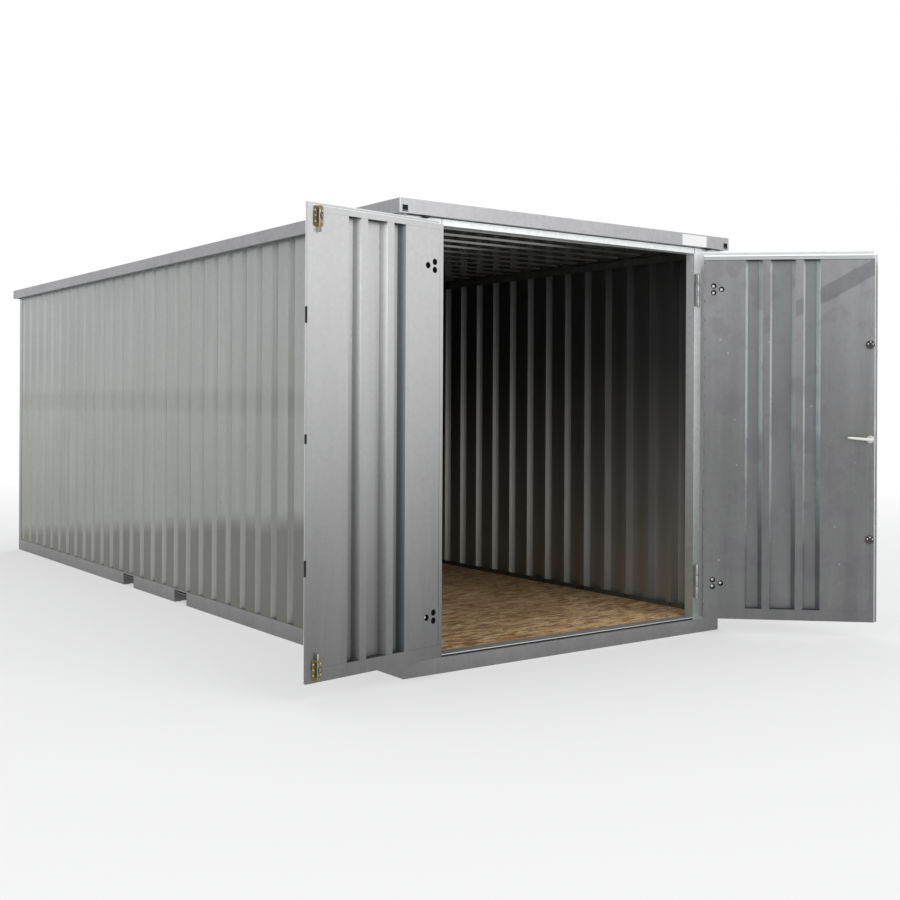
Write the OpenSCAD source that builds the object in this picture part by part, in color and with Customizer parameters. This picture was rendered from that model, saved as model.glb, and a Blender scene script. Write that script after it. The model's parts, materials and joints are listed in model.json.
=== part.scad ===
// Flat-pack storage container of galvanised profiled sheet on a folded steel base frame,
// with a pair of hinged doors in one end and an oriented strand board floor.
// Millimetres. X runs across, Y runs along with the doors at the -Y end, Z is up from the ground.

/* [Overall] */
// Width over the base rails
base_w = 2080; // [1900:1:2300]
// Length over the base rails
base_l = 5740; // [4600:1:6200]
// Height from the ground to the top of the roof trim
height = 2150; // [2050:1:2400]
// How far the roof trim stands out past the side walls
over_side = 47; // [35:1:70]
// How far the roof trim stands out past the end walls
over_end = 25; // [22:1:50]

/* [Profiled sheet] */
// Pitch of the ribs in the wall and roof sheets
rib_pitch = 183; // [160:1:220]
// Width of the narrow flat of a rib
rib_w = 40; // [30:1:50]
// Depth of the profile over the sheet
rib_depth = 40; // [30:1:45]
// Run of each sloping side of a rib
rib_slope = 16; // [10:1:22]
// Thickness of the wall and roof sheet
sheet_t = 1.5; // [1:0.1:2.5]
// Number of sheets that make one side wall
side_sheets = 3; // [3:1:3]
// Number of sheets that make the roof
roof_sheets = 5; // [5:1:5]

/* [Base frame] */
// Height of the side and back base rails
rail_h = 84; // [78:1:100]
// Height of the front base rail under the sill
front_rail_h = 73; // [66:1:74]
// Thickness of the folded rails
rail_t = 3; // [2:0.5:4]
// Depth of the front base rail from its face
front_rail_d = 68; // [62:1:80]
// Clear width of one fork pocket
fork_w = 180; // [150:1:220]
// Distance between the centres of the two fork pockets
fork_spacing = 850; // [700:1:1000]
// Height of the openings cut in the side rails for the forks
fork_cut_h = 76; // [70:1:78]
// Thickness of the pocket channels
pocket_t = 3; // [2:0.5:4]
// Number of floor bearers on each side of the fork pockets
bearers_a_side = 5; // [4:1:6]
// Width of a bearer's flanges
bearer_w = 35; // [30:1:45]
// Distance from a bearer to the pocket or rail beside it
bearer_gap = 30; // [20:1:50]

/* [Floor] */
// Thickness of the floor boards
board_t = 21; // [18:1:22]
// Height of the floor's upper face above the ground
floor_z = 86; // [84:1:92]
// Gap between the boards' edge and the wall angles
board_gap = 0.5; // [0.3:0.1:0.8]

/* [Wall angles] */
// Thickness of the angles at the foot and the head of the walls
angle_t = 2; // [1.5:0.5:3]
// Height of the foot angle's upright leg
foot_leg = 28; // [20:1:40]
// Height of the head angle's upright leg
head_leg = 46; // [35:1:55]
// Width of the head angle's level leg
head_leg_in = 30; // [20:1:40]

/* [Corner posts] */
// Thickness of the folded posts
post_t = 3; // [2:0.5:4]
// Depth of the door jambs from the front face
jamb_d = 58; // [57:1:62]
// Width of the lip behind each door jamb
jamb_lip = 30; // [20:1:50]
// Width of each flange of the back corner angles
back_post_w = 60; // [45:1:80]
// Length by which a side wall laps behind a front post
wall_lap = 30; // [20:1:50]

/* [Doorway] */
// Clear width between the door jambs
door_clear_w = 1680; // [1640:1:1700]
// Distance from the roof trim's top down to the head of the doorway
head_drop = 100; // [90:1:140]
// Thickness of the folded header and sill
header_t = 3; // [2:0.5:4]
// Depth of the sill plate from the front face
sill_d = 76; // [70:1:90]
// Thickness of the sill plate
sill_t = 2; // [2:0.5:4]
// Set-back of the legs under the sill plate
sill_leg_in = 10; // [6:1:14]

/* [Roof trim] */
// Height of the trim's face
trim_h = 66; // [60:1:80]
// Thickness of the trim
trim_t = 2; // [1.5:0.5:3]
// Height of the roof's seat above the trim's lower edge
trim_seat = 10; // [6:1:14]
// Width of the flange on top of the trim
trim_top = 46; // [30:1:60]
// Width of the lip under the trim
trim_lip = 20; // [14:1:22]
// How far the roof sheets run past the walls on each side
roof_run_out = 14; // [5:1:18]
// Side of the square cut-outs at the ends of the front trim
trim_slot = 30; // [20:1:36]
// Distance from a corner of the trim to its cut-out
trim_slot_in = 13; // [10:1:20]
// Height of the cut-outs above the trim's lower edge
trim_slot_up = 6; // [4:1:10]
// Width of the rubber buffers under the front trim
buffer_w = 32; // [24:1:40]
// Height of the rubber buffers
buffer_h = 10; // [6:1:14]
// Depth of the rubber buffers
buffer_d = 18; // [12:1:18]
// Distance from the centre line to each buffer
buffer_x = 936; // [900:1:960]

/* [Hinges] */
// Distance of a hinge axis outside the edge of the clear doorway
axis_out = 20; // [16:1:30]
// Distance of the hinge axes in front of the front face
axis_front = 12.5; // [12:0.5:18]
// Outer diameter of the hinge knuckles
knuckle_d = 18; // [16:1:20]
// Diameter of the hinge pins
pin_d = 10; // [8:1:12]
// Radial clearance of a pin in the middle knuckle
pin_clear = 0.05; // [0.03:0.01:0.08]
// Length of one knuckle
knuckle_l = 60; // [45:1:70]
// Gap between two knuckles
knuckle_gap = 1; // [0.5:0.5:2]
// Thickness of the hinge plates
hinge_plate_t = 5; // [4:0.5:6]
// Length of the hinge plate on the leaf, from the axis
hinge_plate_l = 140; // [130:1:160]
// Height of the upper hinge's middle
hinge_up_z = 1852; // [1700:1:1900]
// Height of the lower hinge's middle
hinge_low_z = 280; // [220:1:400]

/* [Door leaves] */
// Width of the left leaf's body
left_leaf_w = 770; // [740:1:840]
// Thickness of each leaf's body
leaf_t = 43; // [40:1:44]
// Distance of the leaves' outer face behind the hinge axes
leaf_back = 6; // [6:0.5:8]
// Gap between a leaf's body and the jamb, the sill or the header
leaf_gap = 5; // [5:0.5:8]
// Gap between the two closed leaves
meeting_gap = 12; // [10:0.5:14]
// Thickness of the folded leaf frames
leaf_frame_t = 1.5; // [1.2:0.1:2]
// Width of a leaf frame's side lips
leaf_lip = 20; // [16:1:26]
// Width of a leaf frame's top lip
leaf_top_lip = 26; // [20:1:30]
// Width of a leaf frame's bottom lip
leaf_foot_lip = 57; // [40:1:64]
// Length by which a leaf's sheets lap behind the lips
sheet_lap = 10; // [6:1:14]
// Width by which a leaf's flange stands out past its body at the hinge edge
rebate_w = 14; // [10:1:14]
// Height by which the flange stands up past a leaf's body
rebate_up = 20; // [18:1:24]
// How much lower the right leaf's top stands than the left one's
right_drop = 10; // [0:1:10]
// Thickness of that flange
rebate_t = 2; // [1.5:0.5:2]
// Distance from the left leaf's hinge edge to its first recess
left_rib_start = 226; // [210:1:240]
// Width of the two outer recesses in the left leaf's inner face
left_side_w = 71; // [64:1:80]
// Width of the middle recess in the left leaf's inner face
left_mid_w = 116; // [100:1:130]
// Width of the flats between the left leaf's recesses
left_flat = 35; // [30:1:42]
// Distance from the right leaf's hinge edge to its first recess
right_rib_start = 218; // [205:1:235]
// Width of the two outer recesses in the right leaf's inner face
right_side_w = 91; // [80:1:100]
// Width of the middle recess in the right leaf's inner face
right_mid_w = 136; // [120:1:150]
// Width of the flats between the right leaf's recesses
right_flat = 36.5; // [30:0.5:42]
// Width of the step in the left leaf's free edge that takes the right leaf's lip
step_w = 22; // [21:1:30]
// Depth of the left leaf's free edge behind that step
edge_d = 15; // [13:1:16]
// How far the right leaf's lip stands out past its body
lip_out = 16; // [14:1:16]
// Clearance between the lip and the left leaf behind it
lip_clear = 7; // [6:0.5:9]
// Diameter of the access holes to the hinge bolts
access_d = 29; // [24:1:34]
// Distance from a leaf's hinge edge to the near pair of access holes
access_near = 51; // [44:1:56]
// Distance from a leaf's hinge edge to the far access hole
access_far = 93; // [84:1:98]
// Half the spacing of the near pair of access holes
access_half = 18; // [17:1:22]
// Diameter of the hinge bolts' nuts
nut_d = 16; // [14:1:18]
// Clearance round the hinge bolts in the outer sheet
nut_clear = 0.5; // [0.3:0.1:0.8]
// Length of the hinge bolts' ends inside a leaf
nut_l = 14; // [10:1:20]

/* [Left leaf bolts] */
// Width of a bolt's housing plate
bolt_plate_w = 50; // [40:1:60]
// Thickness of a bolt's plate
bolt_plate_t = 3; // [2:0.5:4]
// Diameter of the bolt rods
rod_d = 12; // [10:1:12]
// Clearance round a rod in its guides
rod_clear = 0.5; // [0.3:0.1:0.8]
// Clearance round a rod in the holes of the sill and the header
rod_hole_clear = 2; // [1:0.5:3]
// Width of the guide blocks that hold a rod
guide_w = 22; // [20:1:26]
// Thickness of a guide block before and behind its rod
guide_wall = 2; // [1.5:0.5:3]
// Height of one guide block
guide_h = 12; // [10:1:18]
// Distance from the left leaf's free edge to the rods
rod_in = 53; // [50:1:110]
// Distance from the left leaf's top to the upper housing
bolt_up_end = 3; // [3:1:10]
// Distance from the left leaf's foot to the lower housing
bolt_low_end = 13; // [6:1:14]
// How far the rods slide
bolt_throw = 23; // [21:1:26]
// Length of the rod that stands out of the housing at its tip when it is drawn back
rod_tip = 2; // [0:0.5:3]
// Length of the rod that stands out of the housing at its tail
rod_tail = 25; // [12:1:30]
// Gap between the knob and a guide block at the end of the rod's travel
knob_gap = 2; // [1:0.5:5]
// Length of the knob on a rod
knob_l = 16; // [10:1:20]
// Diameter of the knob
knob_d = 8; // [6:1:10]

/* [Right leaf lock] */
// Height of the lever's axis
lever_z = 1055; // [950:1:1150]
// Height of the latch and its keeper
latch_z = 1088; // [1040:1:1150]
// Height of the upper locking point and its keeper
lock_up_z = 1595; // [1500:1:1700]
// Height of the lower locking point and its keeper
lock_low_z = 560; // [400:1:700]
// Height of the upper rose
rose_up_z = 1555; // [1500:1:1700]
// Height of the lower rose
rose_low_z = 527; // [400:1:700]
// Distance from the free edge to the lever's axis
backset = 25; // [25:1:40]
// Diameter of the lever's roses
rose_d = 40; // [30:1:44]
// Thickness of the roses
rose_t = 5; // [3:1:8]
// Length of the lever from its axis to its tip
lever_l = 122; // [100:1:140]
// Diameter of the lever's grip
lever_d = 16; // [12:1:20]
// Distance of the grip's middle from the leaf's face
lever_stand = 45; // [35:1:55]
// Diameter of the spindle and necks
neck_d = 14; // [12:1:18]
// Clearance of the spindle in the leaf's sheets
spindle_clear = 0.5; // [0.3:0.1:0.8]
// Width of the lock plates on the free edge
lock_plate_w = 14; // [12:1:14]
// Height of the lock plate behind the latch
lock_plate_h = 180; // [140:1:220]
// Height of the plates at the upper and lower locking points
lock_plate_small_h = 90; // [80:1:110]
// Thickness of the lock plates
lock_plate_t = 2; // [1.5:0.5:2]
// Height of the latch slot in its plate
latch_h = 30; // [20:1:34]
// Width of the slots in the lock plates
latch_w = 8; // [6:1:10]
// Height of the slots at the upper and lower locking points
pin_slot_h = 46; // [40:1:60]
// Height of the keeper slots for the locking points
keeper_h = 68; // [60:1:80]
// Height of the keeper slot for the latch
keeper_latch_h = 40; // [36:1:50]
// Width of the keeper slots
keeper_w = 10; // [8:1:10]
// Width of the strip on the right leaf's outer face beside its free edge
strip_w = 46; // [40:1:60]

/* [Doors as stored] */
// Angle by which the left leaf stands open
left_open = 171.4; // [90:0.1:179]
// Angle by which the right leaf stands open
right_open = 137; // [90:0.1:179]

/* [Hidden] */
$fn = 48;
eps = 1;

half_w = base_w / 2;
half_l = base_l / 2;
front_y = -half_l;
trim_z = height - trim_h;
seat_z = trim_z + trim_seat;
roof_z = seat_z + trim_t;
head_z = height - head_drop;
half_door = door_clear_w / 2;

wall_x = half_w - post_t;
wall_back_y = half_l - post_t;
rib_face = rib_depth;
angle_x = wall_x - rib_face - angle_t;
flange_w = half_w - angle_x;
foot_z = rail_h + angle_t;
wall_h = seat_z - foot_z;
wall_front_y = front_y + front_rail_d - wall_lap;
side_run = wall_back_y - wall_front_y;
side_ribs = floor(side_run / rib_pitch);
side_margin = (side_run - side_ribs * rib_pitch) / 2;
back_run = 2 * (wall_x - sheet_t);
back_ribs = floor(back_run / rib_pitch);
back_margin = (back_run - back_ribs * rib_pitch) / 2;

roof_half_w = wall_x + roof_run_out;
roof_run = base_l;
roof_ribs = floor(roof_run / rib_pitch);
roof_margin = (roof_run - roof_ribs * rib_pitch) / 2;

bearer_z = floor_z - board_t;
pocket_out = (fork_spacing + fork_w) / 2 + pocket_t;
bearer_first = pocket_out + bearer_gap;
bearer_last = half_l - front_rail_d - bearer_gap - bearer_w;
board_half_w = angle_x - board_gap;
board_front = front_y + sill_d + board_gap;
board_back = wall_back_y - rib_face - angle_t - board_gap;
boards = 4;
board_l = (board_back - board_front) / boards;

axis_x = half_door + axis_out;
axis_y = front_y - axis_front;
leaf_edge = axis_out + leaf_gap;
leaf_in = leaf_back + leaf_t;
leaf_z0 = floor_z + leaf_gap;
left_z1 = head_z - leaf_gap;
right_z1 = left_z1 - right_drop;
right_leaf_w = door_clear_w - 2 * leaf_gap - left_leaf_w - meeting_gap;
left_outer_w = left_leaf_w - step_w;
left_recesses = [left_side_w, left_mid_w, left_side_w];
right_recesses = [right_side_w, right_mid_w, right_side_w];
step_b = leaf_in - edge_d;
edge_b = leaf_in - edge_d / 2;
leaf_sheet_in = leaf_in - leaf_frame_t;
leaf_sheet_out = leaf_back + leaf_frame_t;
leaf_sheet_d = leaf_sheet_in - leaf_sheet_out;
flange_b = leaf_back - rebate_t;
leaf_plate_b = flange_b - hinge_plate_t;

bolt_plate_h = 2 * (guide_h + bolt_throw + knob_gap) + knob_d;
rod_b = leaf_in + bolt_plate_t + guide_wall + rod_clear + rod_d / 2;
guide_d = rod_d + 2 * (rod_clear + guide_wall);
rod_x = left_leaf_w + leaf_edge - rod_in;

// A box between two corners.
module span(a, b) {
    translate([min(a.x, b.x), min(a.y, b.y), min(a.z, b.z)])
        cube([abs(b.x - a.x), abs(b.y - a.y), abs(b.z - a.z)]);
}

// Shift of the outer bends of a rib, so that its sloping sides keep the sheet's thickness.
function bend_shift(run, rise, t) = t * (sqrt(run * run + rise * rise) - run) / rise;

// The bends of one rib centred on c, on the face that the rib stands out from.
function rib_upper(c, w, run, depth, t) = [
    [c - w / 2 - run, t], [c - w / 2, depth],
    [c + w / 2, depth], [c + w / 2 + run, t]
];

// The same bends on the sheet's other face.
function rib_lower(c, w, run, depth, t) = let (e = bend_shift(run, depth - t, t)) [
    [c - w / 2 - run + e, 0], [c - w / 2 + e, depth - t],
    [c + w / 2 - e, depth - t], [c + w / 2 + run - e, 0]
];

// Section of a profiled sheet with its wide flats on the X axis: ribs is a list of centre and width.
module profile(length, ribs, run, depth, t) {
    upper = [for (r = ribs) for (p = rib_upper(r[0], r[1], run, depth, t)) p];
    lower = [for (r = ribs) for (p = rib_lower(r[0], r[1], run, depth, t)) p];
    back = [for (i = [len(lower) - 1 : -1 : 0]) lower[i]];
    polygon(concat([[0, t]], upper, [[length, t], [length, 0]], back, [[0, 0]]));
}

// Sheet number i of m in a run that holds n ribs, with flat margins at the run's two ends.
module run_sheet(i, m, n, margin, h) {
    first = floor(i * n / m);
    last = floor((i + 1) * n / m);
    start = i == 0 ? 0 : margin + first * rib_pitch;
    end = i == m - 1 ? 2 * margin + n * rib_pitch : margin + last * rib_pitch;
    ribs = [for (k = [first : last - 1]) [margin + (k + 0.5) * rib_pitch - start, rib_w]];
    translate([start, 0, 0])
        linear_extrude(h) profile(end - start, ribs, rib_slope, rib_depth, sheet_t);
}

// Channel section with its web on the Y axis, open towards +X.
module channel_section(w, h, t) {
    difference() {
        square([w, h]);
        translate([t, t]) square([w, h - 2 * t]);
    }
}

module galvanised() { color([0.72, 0.74, 0.76]) children(); }
module base_steel() { color([0.58, 0.59, 0.61]) children(); }
module bright_steel() { color([0.82, 0.83, 0.84]) children(); }
module yellow_zinc() { color([0.72, 0.6, 0.28]) children(); }
module strand_board() { color([0.76, 0.58, 0.38]) children(); }
module rubber_black() { color([0.08, 0.08, 0.08]) children(); }

// Base frame

module front_base_rail() base_steel() {
    translate([-half_w, front_y, 0]) rotate([90, 0, 90])
        linear_extrude(base_w) channel_section(front_rail_d, front_rail_h, rail_t);
    for (s = [-1, 1])
        span([s * half_w, front_y, 0], [s * (half_w - rail_t), front_y + front_rail_d, front_rail_h]);
}

module back_base_rail() base_steel() {
    translate([half_w, half_l, 0]) rotate([90, 0, -90])
        linear_extrude(base_w) channel_section(flange_w, rail_h, rail_t);
    for (s = [-1, 1])
        span([s * half_w, half_l, 0], [s * (half_w - rail_t), half_l - flange_w, rail_h]);
}

// The side rails are in three lengths, with a fork opening between each two.
module side_base_rail() {
    near = (fork_spacing - fork_w) / 2;
    far = (fork_spacing + fork_w) / 2;
    for (run = [[-half_l + front_rail_d, -far], [-near, near], [far, half_l - flange_w]])
        translate([-half_w, run[1], 0]) rotate([90, 0, 0])
            linear_extrude(run[1] - run[0]) channel_section(flange_w, rail_h, rail_t);
}

module side_base_rails() base_steel() {
    side_base_rail();
    mirror([1, 0, 0]) side_base_rail();
}

// The upper part of the rail's section, which runs on over a fork opening.
module fork_lintel() {
    translate([-half_w, fork_w / 2, 0]) rotate([90, 0, 0]) linear_extrude(fork_w)
        intersection() {
            channel_section(flange_w, rail_h, rail_t);
            translate([0, fork_cut_h]) square([flange_w, rail_h - fork_cut_h]);
        }
}

module fork_pocket() {
    inner = half_w - rail_t;
    difference() {
        span([-inner, -fork_w / 2 - pocket_t, rail_t], [inner, fork_w / 2 + pocket_t, bearer_z]);
        span([-inner - eps, -fork_w / 2, rail_t - eps], [inner + eps, fork_w / 2, bearer_z - pocket_t]);
    }
}

module fork_pockets() base_steel() {
    for (s = [-1, 1]) translate([0, s * fork_spacing / 2, 0]) {
        fork_pocket();
        fork_lintel();
        mirror([1, 0, 0]) fork_lintel();
    }
}

// The middle bearer reaches down to the ground between the side rails.
module floor_bearers() base_steel() {
    inner = half_w - rail_t;
    step = (bearer_last - bearer_first) / (bearers_a_side - 1);
    places = concat(
        [for (i = [0 : bearers_a_side - 1]) bearer_first + i * step],
        [for (i = [0 : bearers_a_side - 1]) -bearer_first - i * step - bearer_w]);
    for (y = places)
        translate([-inner, y, rail_t]) rotate([90, 0, 90])
            linear_extrude(2 * inner) channel_section(bearer_w, bearer_z - rail_t, rail_t);
    translate([-angle_x, -bearer_w / 2, 0]) rotate([90, 0, 90])
        linear_extrude(2 * angle_x) channel_section(bearer_w, bearer_z, rail_t);
}

// Floor and doorway

module floor_board(i) strand_board()
    span([-board_half_w, board_front + i * board_l, bearer_z],
         [board_half_w, board_front + (i + 1) * board_l, floor_z]);

module door_sill() base_steel() {
    leg_z = floor_z - sill_t;
    difference() {
        union() {
            span([-half_door, front_y, leg_z], [half_door, front_y + sill_d, floor_z]);
            span([-half_door, front_y + sill_leg_in, front_rail_h],
                 [half_door, front_y + sill_leg_in + sill_t, leg_z]);
            span([-half_door, front_y + front_rail_d - sill_t, front_rail_h],
                 [half_door, front_y + front_rail_d, leg_z]);
        }
        closed_rod_place() translate([0, 0, leg_z - eps])
            cylinder(d = rod_d + 2 * rod_hole_clear, h = sill_t + 2 * eps);
    }
}

module door_header() galvanised() difference() {
    translate([-half_door, front_y, head_z]) rotate([90, 0, 90])
        linear_extrude(door_clear_w) channel_section(jamb_d, seat_z - head_z, header_t);
    closed_rod_place() translate([0, 0, head_z - eps])
        cylinder(d = rod_d + 2 * rod_hole_clear, h = header_t + 2 * eps);
}

module front_post() {
    translate([0, 0, front_rail_h]) linear_extrude(seat_z - front_rail_h) union() {
        translate([-half_w, front_y]) square([half_w - half_door, post_t]);
        translate([-half_w, front_y]) square([post_t, front_rail_d]);
        translate([-half_door - post_t, front_y]) square([post_t, jamb_d]);
        translate([-half_door - jamb_lip, front_y + jamb_d - post_t]) square([jamb_lip, post_t]);
    }
}

module front_posts() galvanised() {
    front_post();
    mirror([1, 0, 0]) front_post();
}

module back_posts() galvanised() for (s = [0, 1]) mirror([s, 0, 0])
    translate([-half_w, half_l, rail_h]) mirror([0, 1, 0])
        linear_extrude(seat_z - rail_h) union() {
            square([back_post_w, post_t]);
            square([post_t, back_post_w]);
        }

// Walls

module side_wall(i)
    translate([-wall_x, wall_front_y, foot_z]) mirror([1, -1, 0])
        run_sheet(i, side_sheets, side_ribs, side_margin, wall_h);

module left_wall(i) galvanised() side_wall(i);

module right_wall(i) galvanised() mirror([1, 0, 0]) side_wall(i);

module back_wall(i) galvanised()
    translate([-back_run / 2, wall_back_y, foot_z]) mirror([0, 1, 0])
        run_sheet(i, 2, back_ribs, back_margin, wall_h);

module wall_foot_angles() base_steel() {
    y0 = front_y + front_rail_d;
    y1 = wall_back_y - rib_face - angle_t;
    for (s = [-1, 1]) {
        span([s * wall_x, y0, rail_h], [s * angle_x, y1, foot_z]);
        span([s * (angle_x + angle_t), y0, rail_h], [s * angle_x, y1, rail_h + foot_leg]);
    }
    span([-wall_x, y1, rail_h], [wall_x, wall_back_y, foot_z]);
    span([-angle_x - angle_t, y1, rail_h], [angle_x + angle_t, y1 + angle_t, rail_h + foot_leg]);
}

module wall_head_angles() base_steel() {
    y0 = front_y + jamb_d;
    y1 = wall_back_y - rib_face - angle_t;
    for (s = [-1, 1]) {
        span([s * (angle_x + angle_t), y0, seat_z - head_leg], [s * angle_x, y1, seat_z]);
        span([s * angle_x, y0, seat_z - angle_t], [s * (angle_x - head_leg_in), y1, seat_z]);
    }
    span([-angle_x - angle_t, y1, seat_z - head_leg], [angle_x + angle_t, y1 + angle_t, seat_z]);
    span([-angle_x + head_leg_in, y1 - head_leg_in, seat_z - angle_t],
         [angle_x - head_leg_in, y1, seat_z]);
}

// Roof

module roof_sheet(i) galvanised()
    translate([-roof_half_w, -roof_run / 2, roof_z]) rotate([90, 0, 90])
        run_sheet(i, roof_sheets, roof_ribs, roof_margin, 2 * roof_half_w);

// Section of the roof trim with its outer face on the Y axis and its lower edge on the X axis.
module trim_section(seat_w) {
    square([trim_t, trim_h]);
    square([trim_lip, trim_t]);
    translate([0, trim_seat]) square([seat_w, trim_t]);
    translate([0, trim_h - trim_t]) square([trim_top, trim_t]);
}

module side_roof_trim() {
    out_x = half_w + over_side;
    run_l = base_l + 2 * (over_end - trim_t);
    translate([-out_x, run_l / 2, trim_z]) rotate([90, 0, 0])
        linear_extrude(run_l) trim_section(out_x - angle_x);
}

module side_roof_trims() galvanised() {
    side_roof_trim();
    mirror([1, 0, 0]) side_roof_trim();
}

// An end trim covers the ends of the side trims with its face, and its flanges fit between theirs.
module end_roof_trim(seat_in) {
    out_x = half_w + over_side;
    out_y = half_l + over_end;
    span([-out_x, -out_y, trim_z], [out_x, -out_y + trim_t, height]);
    span([-out_x + trim_lip, -out_y, trim_z], [out_x - trim_lip, -out_y + trim_lip, trim_z + trim_t]);
    span([-angle_x, -out_y, seat_z], [angle_x, seat_in, roof_z]);
    span([-out_x + trim_top, -out_y, height - trim_t], [out_x - trim_top, -out_y + trim_top, height]);
}

module front_roof_trim() difference() {
    end_roof_trim(front_y + jamb_d);
    for (s = [-1, 1])
        span([s * (half_w + over_side - trim_slot_in), front_y - over_end - eps, trim_z + trim_slot_up],
             [s * (half_w + over_side - trim_slot_in - trim_slot), front_y - over_end + trim_t + eps,
              trim_z + trim_slot_up + trim_slot]);
}

module end_roof_trims() galvanised() {
    front_roof_trim();
    mirror([0, 1, 0]) end_roof_trim(-wall_back_y + rib_face + angle_t);
}

module trim_buffers() rubber_black() for (s = [-1, 1])
    span([s * buffer_x - buffer_w / 2, front_y - over_end + trim_t, trim_z - buffer_h],
         [s * buffer_x + buffer_w / 2, front_y - over_end + trim_t + buffer_d, trim_z]);

// Hinges: local X runs from the axis along the leaf, local Y from the axis towards the cabin.

module place_left_axis() translate([-axis_x, axis_y, 0]) children();

module place_right_axis() translate([axis_x, axis_y, 0]) mirror([1, 0, 0]) children();

module place_left_leaf() place_left_axis() rotate([0, 0, -left_open]) children();

module place_right_leaf() place_right_axis() rotate([0, 0, -right_open]) children();

module closed_rod_place() place_left_axis() translate([rod_x, rod_b, 0]) children();

module post_hinge() {
    for (s = [-1, 1]) translate([0, 0, s * (knuckle_l + knuckle_gap)]) {
        cylinder(d = knuckle_d, h = knuckle_l, center = true);
        translate([-hinge_plate_t / 2, 0, -knuckle_l / 2]) cube([hinge_plate_t, axis_front, knuckle_l]);
    }
    cylinder(d = pin_d, h = 2 * knuckle_l, center = true);
}

module post_hinges() bright_steel() for (z = [hinge_up_z, hinge_low_z]) {
    place_left_axis() translate([0, 0, z]) post_hinge();
    place_right_axis() translate([0, 0, z]) post_hinge();
}

module leaf_hinge() {
    difference() {
        union() {
            cylinder(d = knuckle_d, h = knuckle_l, center = true);
            translate([0, leaf_plate_b, -knuckle_l / 2])
                cube([hinge_plate_l, hinge_plate_t, knuckle_l]);
        }
        cylinder(d = pin_d + 2 * pin_clear, h = knuckle_l + 2 * eps, center = true);
    }
    bolt_from = leaf_plate_b + hinge_plate_t / 2;
    bolt_l = leaf_sheet_out + sheet_t + nut_l - bolt_from;
    hinge_bolt_places() translate([0, bolt_from, 0]) rotate([-90, 0, 0])
        cylinder(d = nut_d, h = bolt_l);
}

module hinge_bolt_places() {
    for (s = [-1, 1]) translate([leaf_edge + access_near, 0, s * access_half]) children();
    translate([leaf_edge + access_far, 0, 0]) children();
}

module leaf_hinges() for (z = [hinge_up_z, hinge_low_z]) translate([0, 0, z]) leaf_hinge();

module left_leaf_hinges() bright_steel() place_left_leaf() leaf_hinges();

module right_leaf_hinges() bright_steel() place_right_leaf() leaf_hinges();

// Door leaves

module leaf_frame(w, z1) {
    edge = leaf_edge + w;
    difference() {
        span([leaf_edge, leaf_back, leaf_z0], [edge, leaf_in, z1]);
        span([leaf_edge + leaf_frame_t, leaf_sheet_out, leaf_z0 + leaf_frame_t],
             [edge - leaf_frame_t, leaf_sheet_in, z1 - leaf_frame_t]);
        span([leaf_edge + leaf_lip, leaf_back - eps, leaf_z0 + leaf_foot_lip],
             [edge - leaf_lip, leaf_in + eps, z1 - leaf_top_lip]);
    }
}

// Flat strips on a leaf's outer face that cover its gap to the jamb and the header.
module leaf_flange(w, z1) {
    flange_x = leaf_edge - rebate_w;
    flange_z = z1 + rebate_up;
    span([flange_x, flange_b, leaf_z0], [leaf_edge + leaf_lip, leaf_back, flange_z]);
    span([flange_x, flange_b, z1 - leaf_top_lip], [leaf_edge + w, leaf_back, flange_z]);
}

module hinge_bolt_holes(b0, b1, d) for (z = [hinge_up_z, hinge_low_z])
    translate([0, b0 - eps, z]) hinge_bolt_places() rotate([-90, 0, 0])
        cylinder(d = d, h = b1 - b0 + 2 * eps);

// Middles and widths of the recesses, from a leaf's hinge edge.
function recess_places(start, widths, flat) = let (
    c1 = start + widths[0] / 2,
    c2 = c1 + (widths[0] + widths[1]) / 2 + flat,
    c3 = c2 + (widths[1] + widths[2]) / 2 + flat)
    [[c1, widths[0]], [c2, widths[1]], [c3, widths[2]]];

// The sheet's recesses reach from the inner face to the outer one.
module leaf_profile(w, recesses, z0, h) {
    ribs = [for (r = recesses) [r[0] - sheet_lap, r[1] - 2 * rib_slope]];
    difference() {
        translate([leaf_edge + sheet_lap, leaf_sheet_in, z0]) mirror([0, 1, 0]) linear_extrude(h)
            profile(w - 2 * sheet_lap, ribs, rib_slope, leaf_sheet_d, sheet_t);
        hinge_bolt_holes(leaf_sheet_in - sheet_t, leaf_sheet_in, access_d);
    }
}

// Outer sheets that close the leaf beside its recesses.
module leaf_covers(outer_w, recesses, z0, z1) {
    first = recesses[0];
    last = recesses[2];
    cover0 = leaf_edge + first[0] - first[1] / 2 + rib_slope - sheet_t;
    cover1 = leaf_edge + last[0] + last[1] / 2 - rib_slope + sheet_t;
    cover_b = leaf_sheet_out + sheet_t;
    difference() {
        union() {
            span([leaf_edge + sheet_lap, leaf_sheet_out, z0], [cover0, cover_b, z1]);
            span([cover1, leaf_sheet_out, z0], [leaf_edge + outer_w - sheet_lap, cover_b, z1]);
        }
        hinge_bolt_holes(leaf_sheet_out, cover_b, nut_d + 2 * nut_clear);
    }
}

module leaf_sheets(w, outer_w, recesses, z1) {
    sheet_z0 = leaf_z0 + leaf_foot_lip - sheet_lap;
    sheet_z1 = z1 - leaf_top_lip + sheet_lap;
    leaf_profile(w, recesses, sheet_z0, sheet_z1 - sheet_z0);
    leaf_covers(outer_w, recesses, sheet_z0, sheet_z1);
}

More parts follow.
